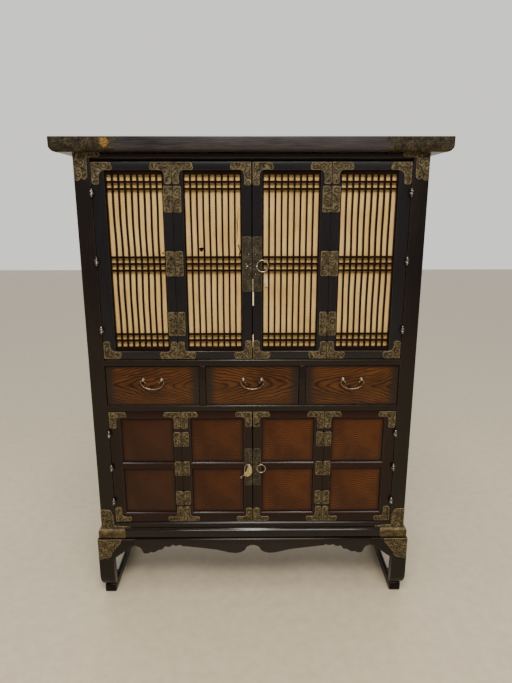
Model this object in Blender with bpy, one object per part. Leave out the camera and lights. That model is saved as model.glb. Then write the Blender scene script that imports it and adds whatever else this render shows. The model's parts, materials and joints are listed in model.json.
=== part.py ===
"""Brass-bound display cabinet: lattice doors over three drawers over panelled doors, on a footed stand.

Metres, +Z up. The front faces -Y, and the origin is on the floor under the middle of the whole box.
The doors are two folding pairs on each tier: an outer leaf hinged to the post, and an inner leaf
hinged to the outer one. X sizes of doors and drawers are written as distances from the middle.
"""

import math

import bmesh
import bpy
from mathutils import Matrix, Vector

# Clearances shared by every piece
fit_gap = 0.0003
cut_overrun = 0.0100
joint_sink = 0.0010

# Carcass
carcass_width = 0.9520
carcass_depth = 0.3900
post_width = 0.0450
front_post_depth = 0.0450
back_post_depth = 0.0300
side_inset = 0.0060
side_thickness = 0.0180
side_field_depth = 0.0060
side_border = 0.0300
back_thickness = 0.0120
floor_thickness = 0.0150

# Top board
top_width = 1.0570
top_thickness = 0.0375
top_front_overhang = 0.0300
top_back_overhang = 0.0100
top_edge_round = 0.0150

# Heights of the tiers, from the stand up
bottom_rail_height = 0.0200
lower_door_height = 0.3670
drawer_rail_height = 0.0190
drawer_opening_height = 0.1220
upper_rail_height = 0.0190
upper_door_height = 0.5455
top_rail_height = 0.0210
door_gap = 0.0020
rail_chamfer = 0.0030
bottom_rail_chamfer = 0.0060
top_rail_chamfer = 0.0090

# Stand
base_frame_height = 0.0310
base_frame_projection = 0.0080
base_frame_width = 0.0640
base_frame_slope = 0.0060
stand_projection = 0.0140
stand_width = 0.9768
leg_height = 0.1664
leg_thickness = 0.0440
front_leg_board = 0.0280
front_leg_side_board = 0.0200
ankle_width = 0.0466
ankle_height = 0.0950
ankle_depth = 0.0830
bracket_height = 0.1355
bracket_reach = 0.1004
bracket_end_height = 0.1430
bracket_end_reach = 0.1164
side_bracket_reach = 0.1300
toe_height = 0.0320
toe_inset = 0.0125
toe_steps = 5
runner_height = 0.0300
runner_width = 0.0360
runner_rail_width = 0.0120
runner_side_inset = 0.0104
runner_front_inset = 0.0080
runner_nose = 0.0100
apron_thickness = 0.0200
apron_height = 0.0514
side_apron_height = 0.0420
side_apron_waves = 3
side_apron_wave_depth = 0.0100
side_apron_steps = 24

# Lower edge of the front apron: places across its half width, and how far each hangs down
apron_across_shares = (
    0.0, 0.022, 0.053, 0.066, 0.096, 0.144, 0.213, 0.306, 0.394, 0.514, 0.599, 0.634,
    0.687, 0.735, 0.751, 0.772, 0.793, 0.812, 0.860, 0.874, 0.900, 0.924, 0.937, 0.945, 0.959,
)
apron_hang_shares = (
    0.43, 0.45, 0.56, 0.76, 0.92, 1.0, 0.93, 0.75, 0.66, 0.55, 0.48, 0.41,
    0.45, 0.52, 0.56, 0.67, 0.71, 0.83, 0.89, 0.95, 1.0, 0.98, 0.89, 0.72, 0.56,
)
apron_end_hang_share = 0.44

# Door leaves
leaf_thickness = 0.0220
leaf_inset = 0.0020
post_side_gap = 0.0010
fold_half_gap = 0.0005
meeting_half_gap = 0.0015
fold_line = 0.2155
outer_post_stile = 0.0350
outer_fold_stile = 0.0240
inner_fold_stile = 0.0300
inner_meeting_stile = 0.0275
upper_top_rail = 0.0220
upper_bottom_rail = 0.0230
lower_top_rail = 0.0250
lower_bottom_rail = 0.0310
lower_mid_rail = 0.0240
lower_panel_height = 0.1470

# Lattice and paper
lattice_recess = 0.0050
lattice_thickness = 0.0090
lattice_side_border = 0.0030
lattice_top_border = 0.0100
lattice_bottom_border = 0.0120
lattice_bars = 8
lattice_bar_width = 0.0043
lattice_row_width = 0.0056
lattice_row_pitch = 0.0185
lattice_end_rows = 2
lattice_middle_rows = 3
paper_thickness = 0.0008

# Panels of the lower doors
panel_recess = 0.0060
panel_thickness = 0.0120

# Plate hinges on the fold line
fold_knuckle_radius = 0.0026
fold_plate_width = 0.0240
fold_plate_thickness = 0.0012
fold_plate_height = 0.0660
low_fold_plate_height = 0.0460
low_fold_plate_width = 0.0225
fold_knuckle_clearance = 0.0005
knuckle_sides = 8

# Barrel hinges on the posts
barrel_radius = 0.0050
barrel_knuckle_height = 0.0070
barrel_finial_height = 0.0058
barrel_finial_radius = 0.0034
barrel_finial_waist = 0.0022
finial_shoulder_share = 0.60
finial_waist_share = 0.85
barrel_bridge_width = 0.0055
barrel_bridge_height = 0.0050

# The three hinges on an edge of a leaf: the lowest is set out from the leaf's foot up, the
# middle one from its middle up, and the highest from its head down
upper_barrel_offsets = (0.0860, 0.00925, 0.0795)
upper_plate_offsets = (0.1040, 0.00225, 0.0965)
lower_barrel_offsets = (0.0720, 0.0025, 0.0700)
lower_plate_offsets = (0.0820, -0.0015, 0.0885)

# Lock plates, eyes and rings
upper_lock_plate_width = 0.0245
lower_lock_plate_width = 0.0220
lock_plate_thickness = 0.0012
upper_lock_plate_height = 0.1520
lower_lock_plate_height = 0.1220
upper_lock_rise = 0.00075
lower_lock_rise = 0.0027
upper_eye_rise = -0.00375
lower_eye_rise = -0.0005
eye_from_middle = 0.0130
eye_radius = 0.0032
eye_wire = 0.0012
eye_stand_off = 0.0036
upper_ring_radius = 0.0160
lower_ring_radius = 0.0130
ring_wire = 0.0014
ring_turns = 20
wire_sides = 6
eye_turns = 12

# Padlock hanging in the lower left eye, its bow to the left of its body
padlock_eye_rise = 0.0125
shackle_wire = 0.0013
shackle_rest = 0.0003
lock_body_width = 0.0260
lock_body_height = 0.0400
lock_body_thickness = 0.0056
lock_across_shares = (
    0.115, 0.250, 0.365, 0.440, 0.460, 0.405, 0.230, -0.040, -0.345,
    -0.520, -0.540, -0.365, -0.115, 0.060, 0.125, 0.115, 0.100,
)
lock_down_shares = (
    -0.010, 0.025, 0.150, 0.325, 0.500, 0.700, 0.875, 0.975, 0.975,
    0.875, 0.740, 0.660, 0.625, 0.525, 0.375, 0.200, 0.075,
)
shackle_across_shares = (0.20, 0.06, -0.19, -0.33, -0.43, -0.47, -0.47)
shackle_down_shares = (0.03, 0.0, 0.0, 0.07, 0.22, 0.45, 0.80)
key_across_shares = (-0.42, -0.88)
key_down_shares = (0.78, 1.05)
key_shank_radius = 0.0012
key_bow_radius = 0.0036
key_thickness = 0.0020

# Drawers
divider_width = 0.0180
middle_drawer_half_opening = 0.1380
drawer_inset = 0.0040
drawer_side_gap = 0.0010
drawer_top_gap = 0.0025
drawer_back_gap = 0.0150
drawer_front_thickness = 0.0180
drawer_side_thickness = 0.0100
drawer_bottom_thickness = 0.0080

# Drawer bails
bail_height = 0.0800
bail_stand_off = 0.0080
bail_half_span = 0.0270
bail_half_reach = 0.0340
bail_drop = 0.0285
bail_wire = 0.0020
bail_turn = 0.0030
bail_pin_inside = 0.0045
bail_steps = 14
bail_turn_steps = 3
bail_post_radius = 0.0040
bail_post_reach = 0.0115
bail_bore = 0.0023
bail_post_sides = 12

# Places worked out from the sizes above
half_carcass = carcass_width / 2
half_opening = half_carcass - post_width
half_stand = stand_width / 2
total_depth = top_front_overhang + carcass_depth + top_back_overhang
front = top_front_overhang - total_depth / 2
back = front + carcass_depth
stand_front = front - stand_projection

runner_top = runner_height
leg_foot = runner_top + fit_gap
leg_top = leg_foot + leg_height
base_foot = leg_top + fit_gap
base_top = base_foot + base_frame_height
carcass_foot = base_top + fit_gap
bottom_rail_top = carcass_foot + bottom_rail_height
lower_door_foot = bottom_rail_top + door_gap
lower_door_head = lower_door_foot + lower_door_height
drawer_rail_foot = lower_door_head + door_gap
drawer_foot = drawer_rail_foot + drawer_rail_height
drawer_head = drawer_foot + drawer_opening_height
upper_rail_top = drawer_head + upper_rail_height
upper_door_foot = upper_rail_top + door_gap
upper_door_head = upper_door_foot + upper_door_height
top_rail_foot = upper_door_head + door_gap
carcass_head = top_rail_foot + top_rail_height
top_foot = carcass_head + fit_gap
top_head = top_foot + top_thickness
upper_door_middle = upper_door_foot + upper_door_height / 2
lower_door_middle = lower_door_foot + lower_door_height / 2

leaf_front = front + leaf_inset
outer_leaf_edge = half_opening - post_side_gap
outer_fold_edge = fold_line + fold_half_gap
inner_fold_edge = fold_line - fold_half_gap
rail_back = front + front_post_depth
back_face = back - back_post_depth
floor_back = back_face - fit_gap
side_outside = half_carcass - side_inset
side_inside = side_outside - side_thickness

fold_axis_y = leaf_front - fold_knuckle_radius - fit_gap
barrel_axis_x = half_opening - post_side_gap / 2
barrel_axis_y = front - barrel_radius - fit_gap
lock_plate_face = leaf_front - lock_plate_thickness
eye_y = lock_plate_face - eye_stand_off

drawer_face = front + drawer_inset
drawer_back = back_face - drawer_back_gap
bail_axis_y = drawer_face - bail_stand_off
bail_axis_z = drawer_foot + bail_height
side_drawer_inside = middle_drawer_half_opening + divider_width

upright = Matrix.Rotation(math.pi / 2, 4, "X")
sideways = Matrix.Rotation(math.pi / 2, 4, "Z") @ upright

# Colour, roughness and metallic value of each finish
looks = {
    "dark wood": ((0.020, 0.013, 0.010), 0.38, 0.0),
    "carcass wood": ((0.030, 0.018, 0.012), 0.55, 0.0),
    "lattice wood": ((0.016, 0.010, 0.008), 0.50, 0.0),
    "drawer wood": ((0.230, 0.085, 0.030), 0.40, 0.0),
    "panel wood": ((0.120, 0.035, 0.014), 0.42, 0.0),
    "paper": ((0.640, 0.520, 0.340), 0.90, 0.0),
    "bright brass": ((0.500, 0.400, 0.230), 0.35, 1.0),
}


def clear_scene():
    for thing in list(bpy.data.objects):
        bpy.data.objects.remove(thing, do_unlink=True)


def new_collection(name):
    group = bpy.data.collections.new(name)
    bpy.context.scene.collection.children.link(group)
    return group


def give_finish(piece, look):
    """Every piece has a material of its own."""
    colour, roughness, metallic = looks[look]
    material = bpy.data.materials.new(piece.name + "_finish")
    material.use_nodes = True
    shader = material.node_tree.nodes["Principled BSDF"]
    shader.inputs["Base Color"].default_value = (*colour, 1)
    shader.inputs["Roughness"].default_value = roughness
    shader.inputs["Metallic"].default_value = metallic
    material.diffuse_color = (*colour, 1)
    piece.data.materials.append(material)


def place_part(name, mesh, place, look):
    piece = bpy.data.objects.new(name, mesh)
    piece.location = place
    parts.objects.link(piece)
    give_finish(piece, look)
    return piece


def place_helper(name, mesh, place, group):
    """A shape that is only cut away from a part or joined to one."""
    helper = bpy.data.objects.new(name, mesh)
    helper.location = place
    helper.hide_render = True
    helper.display_type = "WIRE"
    group.objects.link(helper)
    return helper


def helper_group(name):
    group = bpy.data.collections.new(name)
    cutters.children.link(group)
    return group


def mesh_from(build, name):
    """A mesh filled by a function that is handed an empty bmesh."""
    shape = bmesh.new()
    build(shape)
    bmesh.ops.recalc_face_normals(shape, faces=shape.faces)
    mesh = bpy.data.meshes.new(name)
    shape.to_mesh(mesh)
    shape.free()
    return mesh


def box_mesh(name, size, ease=0, steps=1, picked=None):
    """A box about its middle. Edges that picked() accepts are eased by a bevel."""

    def build(shape):
        bmesh.ops.create_cube(shape, size=1)
        bmesh.ops.scale(shape, vec=size, verts=shape.verts)
        if picked:
            edges = [e for e in shape.edges if picked((e.verts[0].co + e.verts[1].co) / 2)]
            bmesh.ops.bevel(
                shape, geom=edges, offset=ease, segments=steps, profile=0.5, affect="EDGES"
            )

    return mesh_from(build, name)


def span(low, high):
    """Size and middle of the box between two corners, whichever way round they are given."""
    pairs = list(zip(low, high))
    size = [abs(b - a) for a, b in pairs]
    middle = Vector([(a + b) / 2 for a, b in pairs])
    return size, middle


def part_box(name, low, high, look, ease=0, steps=1, picked=None):
    size, middle = span(low, high)
    return place_part(name, box_mesh(name, size, ease, steps, picked), middle, look)


def helper_box(name, low, high, group):
    size, middle = span(low, high)
    return place_helper(name, box_mesh(name, size), middle, group)


def rod_mesh(name, radius, length, sides, turn):
    """A straight round rod about its middle, along Z before it is turned."""

    def build(shape):
        bmesh.ops.create_cone(
            shape, cap_ends=True, segments=sides, radius1=radius, radius2=radius, depth=length
        )
        bmesh.ops.transform(shape, matrix=turn, verts=shape.verts)

    return mesh_from(build, name)


def mesh_of_curve(curve, turn):
    """The evaluated curve as a welded mesh, turned to stand where it is used."""
    guide = bpy.data.objects.new(curve.name, curve)
    bpy.context.scene.collection.objects.link(guide)
    graph = bpy.context.evaluated_depsgraph_get()
    mesh = bpy.data.meshes.new_from_object(guide.evaluated_get(graph))
    bpy.data.objects.remove(guide)
    shape = bmesh.new()
    shape.from_mesh(mesh)
    bmesh.ops.remove_doubles(shape, verts=shape.verts, dist=fit_gap / 10)
    bmesh.ops.transform(shape, matrix=turn, verts=shape.verts)
    bmesh.ops.recalc_face_normals(shape, faces=shape.faces)
    shape.to_mesh(mesh)
    shape.free()
    return mesh


def outline_mesh(name, rings, thickness, turn=upright):
    """A flat outline, with any further rings as its holes, given thickness about its plane."""
    curve = bpy.data.curves.new(name, "CURVE")
    curve.dimensions = "2D"
    curve.fill_mode = "BOTH"
    curve.extrude = thickness / 2
    for ring in rings:
        spline = curve.splines.new("POLY")
        spline.points.add(len(ring) - 1)
        for point, (across, up) in zip(spline.points, ring):
            point.co = (across, up, 0, 1)
        spline.use_cyclic_u = True
    return mesh_of_curve(curve, turn)


def wire_mesh(name, points, radius, closed=False):
    """A round wire through the points."""
    curve = bpy.data.curves.new(name, "CURVE")
    curve.dimensions = "3D"
    curve.bevel_depth = radius
    curve.bevel_resolution = (wire_sides - 4) // 2
    curve.use_fill_caps = not closed
    spline = curve.splines.new("POLY")
    spline.points.add(len(points) - 1)
    for point, co in zip(spline.points, points):
        point.co = (*co, 1)
    spline.use_cyclic_u = closed
    return mesh_of_curve(curve, Matrix())


def rectangle(low_x, high_x, low_z, high_z):
    return [(low_x, low_z), (high_x, low_z), (high_x, high_z), (low_x, high_z)]


def arc(centre, radii, start, end, steps):
    """Points along an elliptical arc, angles in degrees."""
    angles = [math.radians(start + (end - start) * i / steps) for i in range(steps + 1)]
    return [
        (centre[0] + radii[0] * math.cos(a), centre[1] + radii[1] * math.sin(a)) for a in angles
    ]


def boolean(piece, operation, group):
    modifier = piece.modifiers.new(operation.title(), "BOOLEAN")
    modifier.operation = operation
    modifier.operand_type = "COLLECTION"
    modifier.collection = group
    modifier.solver = "EXACT"


def pivot(name, place, carrier=None):
    """An empty on a joint's axis, placed in world axes. It carries the pieces that turn about it."""
    axis = bpy.data.objects.new(name, None)
    axis.location = place
    axis.empty_display_size = post_width
    parts.objects.link(axis)
    if carrier:
        carry(carrier, axis)
    return axis


def carry(carrier, piece):
    piece.parent = carrier
    piece.matrix_parent_inverse = Matrix.Translation(-carrier.location)


def make_top_board():
    """Slab that overhangs the front and both ends, its lower edges rounded under."""
    half = top_width / 2

    def under_edge(middle):
        low = middle.z < 0 and abs(middle.z) > top_thickness / 4
        outer = middle.y < -total_depth / 4 or abs(middle.x) > half / 2
        return low and outer

    part_box(
        "top_board",
        (-half, -total_depth / 2, top_foot),
        (half, total_depth / 2, top_head),
        "dark wood",
        top_edge_round,
        4,
        under_edge,
    )


def barrel_profile():
    """Half outline of one knuckle with its drop finial, from the tip down to the flat end."""
    top = barrel_knuckle_height + barrel_finial_height
    return [
        (0, top),
        (barrel_finial_radius, top - barrel_finial_height * finial_shoulder_share),
        (barrel_finial_waist, top - barrel_finial_height * finial_waist_share),
        (barrel_radius, barrel_knuckle_height),
        (barrel_radius, 0),
        (0, 0),
    ]


def add_barrel(name, side, height, upper, group):
    """One knuckle of a post hinge. The post carries the upper one, the leaf the lower one."""

    def build(shape):
        points = [shape.verts.new((r, 0, z)) for r, z in barrel_profile()]
        edges = [shape.edges.new(pair) for pair in zip(points, points[1:])]
        bmesh.ops.spin(
            shape,
            geom=points + edges,
            axis=(0, 0, 1),
            cent=(0, 0, 0),
            angle=2 * math.pi,
            steps=knuckle_sides,
            use_merge=True,
        )
        bmesh.ops.remove_doubles(shape, verts=shape.verts, dist=fit_gap / 10)
        if not upper:
            flip = Matrix.Rotation(math.pi, 4, "X")
            bmesh.ops.transform(shape, matrix=flip, verts=shape.verts)

    sign = 1 if upper else -1
    foot = height + sign * fit_gap / 2
    place_helper(
        name, mesh_from(build, name), (side * barrel_axis_x, barrel_axis_y, foot), group
    )
    inner = barrel_axis_x
    outer = barrel_axis_x + sign * barrel_bridge_width
    face = front if upper else leaf_front
    helper_box(
        name + "_bridge",
        (side * inner, barrel_axis_y, foot + sign * fit_gap),
        (side * outer, face + joint_sink, foot + sign * barrel_bridge_height),
        group,
    )


def hinge_heights(upper, offsets):
    """Heights of the three hinges on an edge of a leaf of the upper or the lower tier."""
    foot = upper_door_foot if upper else lower_door_foot
    middle = upper_door_middle if upper else lower_door_middle
    head = upper_door_head if upper else lower_door_head
    return foot + offsets[0], middle + offsets[1], head - offsets[2]


def barrel_heights(upper):
    return hinge_heights(upper, upper_barrel_offsets if upper else lower_barrel_offsets)


def plate_heights(upper):
    return hinge_heights(upper, upper_plate_offsets if upper else lower_plate_offsets)


def make_posts():
    """Four corner posts. The front ones carry the upper knuckles of the barrel hinges."""
    for side, word in ((-1, "left"), (1, "right")):
        body = part_box(
            f"front_post_{word}",
            (side * half_opening, front, carcass_foot),
            (side * half_carcass, front + front_post_depth, carcass_head),
            "dark wood",
        )
        group = helper_group(f"front_post_{word}_knuckles")
        for upper in (False, True):
            for height in barrel_heights(upper):
                add_barrel(f"post_knuckle_{word}", side, height, True, group)
        boolean(body, "UNION", group)
        part_box(
            f"back_post_{word}",
            (side * half_opening, back - back_post_depth, carcass_foot),
            (side * half_carcass, back, carcass_head),
            "dark wood",
        )


def make_rail(name, foot, head, low_chamfer, high_chamfer):
    """A front rail between the posts, chamfered along its lower or its upper front edge."""
    ring = [(front, foot + low_chamfer), (front, head - high_chamfer)]
    if high_chamfer:
        ring.append((front + high_chamfer, head))
    ring += [(rail_back, head), (rail_back, foot)]
    if low_chamfer:
        ring.append((front + low_chamfer, foot))
    length = 2 * (half_opening - fit_gap)
    place_part(name, outline_mesh(name, [ring], length, sideways), (0, 0, 0), "dark wood")


def make_rails():
    make_rail("bottom_rail", carcass_foot, bottom_rail_top, 0, bottom_rail_chamfer)
    make_rail("drawer_rail", drawer_rail_foot, drawer_foot, 0, rail_chamfer)
    make_rail("upper_rail", drawer_head, upper_rail_top, 0, rail_chamfer)
    make_rail("top_rail", top_rail_foot, carcass_head, top_rail_chamfer, 0)


def make_sides():
    """Framed side walls between the posts, each with a sunk field for every tier."""
    tiers = (
        (carcass_foot, drawer_foot),
        (drawer_foot, drawer_head),
        (drawer_head, carcass_head),
    )
    near = front + front_post_depth + fit_gap
    far = back - back_post_depth - fit_gap
    for side, word in ((-1, "left"), (1, "right")):
        wall = part_box(
            f"side_wall_{word}",
            (side * side_inside, near, carcass_foot),
            (side * side_outside, far, carcass_head),
            "carcass wood",
        )
        group = helper_group(f"side_fields_{word}")
        for foot, head in tiers:
            helper_box(
                f"side_field_{word}",
                (side * (side_outside - side_field_depth), near + side_border, foot + side_border),
                (side * (side_outside + cut_overrun), far - side_border, head - side_border),
                group,
            )
        boolean(wall, "DIFFERENCE", group)


def make_back_and_floors():
    """Back wall between the back posts, and the three floors behind the rails."""
    part_box(
        "back_wall",
        (-half_opening + fit_gap, back_face, carcass_foot),
        (half_opening - fit_gap, back_face + back_thickness, carcass_head),
        "carcass wood",
    )
    half = side_inside - fit_gap
    floors = (
        ("cabinet_floor", bottom_rail_top, bottom_rail_height),
        ("drawer_floor", drawer_foot, floor_thickness),
        ("upper_floor", upper_rail_top, floor_thickness),
    )
    for name, head, thickness in floors:
        part_box(
            name,
            (-half, rail_back + fit_gap, head - thickness),
            (half, floor_back, head),
            "carcass wood",
        )


def make_dividers():
    """Two walls that part the three drawers."""
    for side, word in ((-1, "left"), (1, "right")):
        part_box(
            f"drawer_divider_{word}",
            (side * middle_drawer_half_opening, front, drawer_foot + fit_gap),
            (side * side_drawer_inside, floor_back, drawer_head - fit_gap),
            "dark wood",
        )


def make_base_frame():
    """Open moulded frame that the carcass stands on. Its top slopes back to the carcass."""
    half = half_carcass + base_frame_projection
    near = front - base_frame_projection

    def top_edge(middle):
        high = middle.z > base_frame_height / 4
        return high and (middle.y < -carcass_depth / 4 or abs(middle.x) > half / 2)

    frame = part_box(
        "base_frame",
        (-half, near, base_foot),
        (half, back, base_top),
        "dark wood",
        base_frame_slope,
        1,
        top_edge,
    )
    group = helper_group("base_frame_hollow")
    helper_box(
        "base_frame_hollow",
        (base_frame_width - half, near + base_frame_width, base_foot - cut_overrun),
        (half - base_frame_width, back - base_frame_width, base_top + cut_overrun),
        group,
    )
    boolean(frame, "DIFFERENCE", group)


def bracket_cut_ring(edge, inward, ankle, knee, reach):
    """What is cut away under a bracket: the ankle stands straight, and the bracket reaches in."""
    low = leg_foot - cut_overrun
    beyond = edge + inward * (reach + cut_overrun)
    return [
        (edge + inward * ankle, low),
        (edge + inward * ankle, leg_foot + ankle_height),
        (edge + inward * knee, leg_foot + bracket_height),
        (edge + inward * reach, leg_foot + bracket_end_height),
        (beyond, leg_foot + bracket_end_height),
        (beyond, low),
    ]


def toe_cut_ring(edge, inward):
    """What is cut away so that a leg's foot curves back from the given edge."""
    outside = edge - inward * cut_overrun
    low = leg_foot - cut_overrun
    centre = (toe_inset, leg_foot + toe_height)
    curve = arc(centre, (toe_inset, toe_height), 180, 270, toe_steps)
    curve = [(edge + inward * across, up) for across, up in curve]
    return [(outside, curve[0][1])] + curve + [(curve[-1][0], low), (outside, low)]


def make_legs():
    """Bracket legs, cut from a block. A front leg also has a bracket along the front."""
    side_knee = side_bracket_reach - bracket_end_reach + bracket_reach
    for side, word in ((-1, "left"), (1, "right")):
        outer = side * half_stand
        for depth_word, edge, inward in (("front", stand_front, 1), ("back", back, -1)):
            name = f"leg_{depth_word}_{word}"
            width = bracket_end_reach if inward > 0 else leg_thickness
            far = edge + inward * side_bracket_reach
            leg = part_box(
                name,
                (outer, edge, leg_foot),
                (outer - side * width, far, leg_top),
                "dark wood",
            )
            group = helper_group(name + "_cuts")
            ring = bracket_cut_ring(edge, inward, ankle_depth, side_knee, side_bracket_reach)
            mesh = outline_mesh("side_cut", [ring], 2 * width + cut_overrun, sideways)
            place_helper("side_cut", mesh, (outer, 0, 0), group)
            ring = toe_cut_ring(outer, -side)
            mesh = outline_mesh("toe_cut", [ring], 2 * (ankle_depth + cut_overrun))
            place_helper("toe_cut", mesh, (0, edge, 0), group)
            if inward > 0:
                ring = toe_cut_ring(edge, 1)
                mesh = outline_mesh("toe_cut", [ring], 2 * width + cut_overrun, sideways)
                place_helper("toe_cut", mesh, (outer, 0, 0), group)
                ring = bracket_cut_ring(
                    outer, -side, ankle_width, bracket_reach, bracket_end_reach
                )
                mesh = outline_mesh("front_cut", [ring], 2 * side_bracket_reach + cut_overrun)
                place_helper("front_cut", mesh, (0, edge, 0), group)
                helper_box(
                    "corner_hollow",
                    (outer - side * front_leg_side_board, edge + front_leg_board,
                     leg_foot - cut_overrun),
                    (outer - side * (width + cut_overrun), far + cut_overrun,
                     leg_top + cut_overrun),
                    group,
                )
            boolean(leg, "DIFFERENCE", group)


def make_front_apron():
    """Scalloped board between the front legs."""
    half = half_stand - bracket_end_reach - fit_gap
    edge = [
        (half * across, leg_top - apron_height * hang)
        for across, hang in zip(apron_across_shares, apron_hang_shares)
    ]
    edge.append((half, leg_top - apron_height * apron_end_hang_share))
    mirrored = [(-across, up) for across, up in reversed(edge[1:])]
    ring = mirrored + edge + [(half, leg_top), (-half, leg_top)]
    place = (0, stand_front + apron_thickness / 2, 0)
    mesh = outline_mesh("front_apron", [ring], apron_thickness)
    place_part("front_apron", mesh, place, "dark wood")


def make_side_aprons():
    """Waved board between the front and the back leg of each side."""
    near = stand_front + side_bracket_reach + fit_gap
    far = back - side_bracket_reach - fit_gap
    edge = []
    for step in range(side_apron_steps + 1):
        share = step / side_apron_steps
        wave = (1 - math.cos(2 * math.pi * side_apron_waves * share)) / 2
        hang = side_apron_height - side_apron_wave_depth * wave
        edge.append((near + (far - near) * share, leg_top - hang))
    ring = edge + [(far, leg_top), (near, leg_top)]
    for side, word in ((-1, "left"), (1, "right")):
        name = f"side_apron_{word}"
        mesh = outline_mesh(name, [ring], apron_thickness, sideways)
        place = (side * (half_stand - apron_thickness / 2), 0, 0)
        place_part(name, mesh, place, "dark wood")


def make_runners():
    """Floor runners that tie each front foot to the back one, with a rounded nose.

    Under the feet a runner has its whole width, and between them it is a narrow rail.
    """
    near = stand_front + runner_front_inset
    for side, word in ((-1, "left"), (1, "right")):
        outer = half_stand - runner_side_inset
        name = f"floor_runner_{word}"
        runner = part_box(
            name,
            (side * outer, near, 0),
            (side * (outer - runner_width), back, runner_height),
            "dark wood",
            runner_nose,
            3,
            lambda middle: middle.y < 0 and middle.z > runner_height / 4 and abs(middle.x) < fit_gap,
        )
        group = helper_group(name + "_cuts")
        helper_box(
            "rail_cut",
            (side * (outer + cut_overrun), stand_front + ankle_depth, -cut_overrun),
            (side * (outer - runner_width + runner_rail_width), back - ankle_depth,
             runner_height + cut_overrun),
            group,
        )
        boolean(runner, "DIFFERENCE", group)


def add_fold_hinge(name, side, height, plate_width, plate_height, outer, group):
    """One leaf of a plate hinge: a plate, and the knuckles that its straps carry.

    The outer leaf has the top and bottom knuckles, and the inner leaf the middle one.
    """
    way = 1 if outer else -1
    plate_edge = fold_line + way * (fold_knuckle_radius + fold_knuckle_clearance)
    helper_box(
        name + "_plate",
        (side * plate_edge, leaf_front - fold_plate_thickness, height - plate_height / 2),
        (
            side * (fold_line + way * plate_width),
            leaf_front + joint_sink,
            height + plate_height / 2,
        ),
        group,
    )
    third = plate_height / 3
    middles = (-third, third) if outer else (0,)
    length = third - fit_gap
    reach = length / 2 - fit_gap
    for rise in middles:
        middle = height + rise
        rod = rod_mesh(name, fold_knuckle_radius, length, knuckle_sides, Matrix())
        place_helper(name + "_knuckle", rod, (side * fold_line, fold_axis_y, middle), group)
        helper_box(
            name + "_strap",
            (side * fold_line, fold_axis_y, middle - reach),
            (side * (plate_edge + way * joint_sink), leaf_front + joint_sink / 2, middle + reach),
            group,
        )


def add_eye(name, side, height, turn, group):
    """A wire eye that stands out of the lock plate, its hole along the turned Z axis."""
    points = [(*point, 0) for point in arc((0, 0), (eye_radius, eye_radius), 0, 360, eye_turns)]
    mesh = wire_mesh(name, points[:-1], eye_wire, closed=True)
    mesh.transform(turn)
    place_helper(name, mesh, (side * eye_from_middle, eye_y, height), group)


def leaf_span(inner):
    """Distances from the middle of a leaf's two edges and of its window's two edges."""
    if inner:
        edges = (meeting_half_gap, inner_fold_edge)
        window = (meeting_half_gap + inner_meeting_stile, inner_fold_edge - inner_fold_stile)
    else:
        edges = (outer_fold_edge, outer_leaf_edge)
        window = (outer_fold_edge + outer_fold_stile, outer_leaf_edge - outer_post_stile)
    return edges, window


def make_leaf_frame(name, side, inner, foot, head, windows):
    """The joined frame of one leaf, with a hole for each window."""
    edges, across = leaf_span(inner)
    ring = rectangle(side * edges[0], side * edges[1], foot, head)
    holes = [rectangle(side * across[0], side * across[1], low, high) for low, high in windows]
    mesh = outline_mesh(name, [ring] + holes, leaf_thickness)
    return place_part(name, mesh, (0, leaf_front + leaf_thickness / 2, 0), "dark wood")


def make_lattice(name, side, inner, low, high):
    """Grid of thin bars in front of the paper, with a narrow border all round."""
    _, across = leaf_span(inner)
    left, right = across[0] + fit_gap, across[1] - fit_gap
    low, high = low + fit_gap, high - fit_gap
    clear_left, clear_right = left + lattice_side_border, right - lattice_side_border
    clear_low, clear_high = low + lattice_bottom_border, high - lattice_top_border
    gaps = lattice_bars + 1
    gap_width = (clear_right - clear_left - lattice_bars * lattice_bar_width) / gaps
    middle = (clear_low + clear_high) / 2
    rows = [clear_low + lattice_row_pitch * (i + 1) for i in range(lattice_end_rows)]
    spread = (lattice_middle_rows - 1) / 2
    rows += [middle + lattice_row_pitch * (i - spread) for i in range(lattice_middle_rows)]
    rows += [clear_high - lattice_row_pitch * (lattice_end_rows - i) for i in range(lattice_end_rows)]
    feet = [clear_low] + [row + lattice_row_width / 2 for row in rows]
    heads = [row - lattice_row_width / 2 for row in rows] + [clear_high]
    rings = [rectangle(side * left, side * right, low, high)]
    for column in range(gaps):
        start = clear_left + column * (gap_width + lattice_bar_width)
        for foot, head in zip(feet, heads):
            rings.append(rectangle(side * start, side * (start + gap_width), foot, head))
    mesh = outline_mesh(name, rings, lattice_thickness)
    depth = leaf_front + lattice_recess + lattice_thickness / 2
    return place_part(name, mesh, (0, depth, 0), "lattice wood")


def make_paper(name, side, inner, low, high):
    _, across = leaf_span(inner)
    near = leaf_front + lattice_recess + lattice_thickness + fit_gap
    return part_box(
        name,
        (side * (across[0] + fit_gap), near, low + fit_gap),
        (side * (across[1] - fit_gap), near + paper_thickness, high - fit_gap),
        "paper",
    )


def make_panel(name, side, inner, low, high):
    _, across = leaf_span(inner)
    near = leaf_front + panel_recess
    return part_box(
        name,
        (side * (across[0] + fit_gap), near, low + fit_gap),
        (side * (across[1] - fit_gap), near + panel_thickness, high - fit_gap),
        "panel wood",
    )


def add_lock_plate(name, side, height, plate_width, plate_height, group):
    helper_box(
        name,
        (side * meeting_half_gap, lock_plate_face, height - plate_height / 2),
        (side * (meeting_half_gap + plate_width), leaf_front + joint_sink,
         height + plate_height / 2),
        group,
    )


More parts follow.
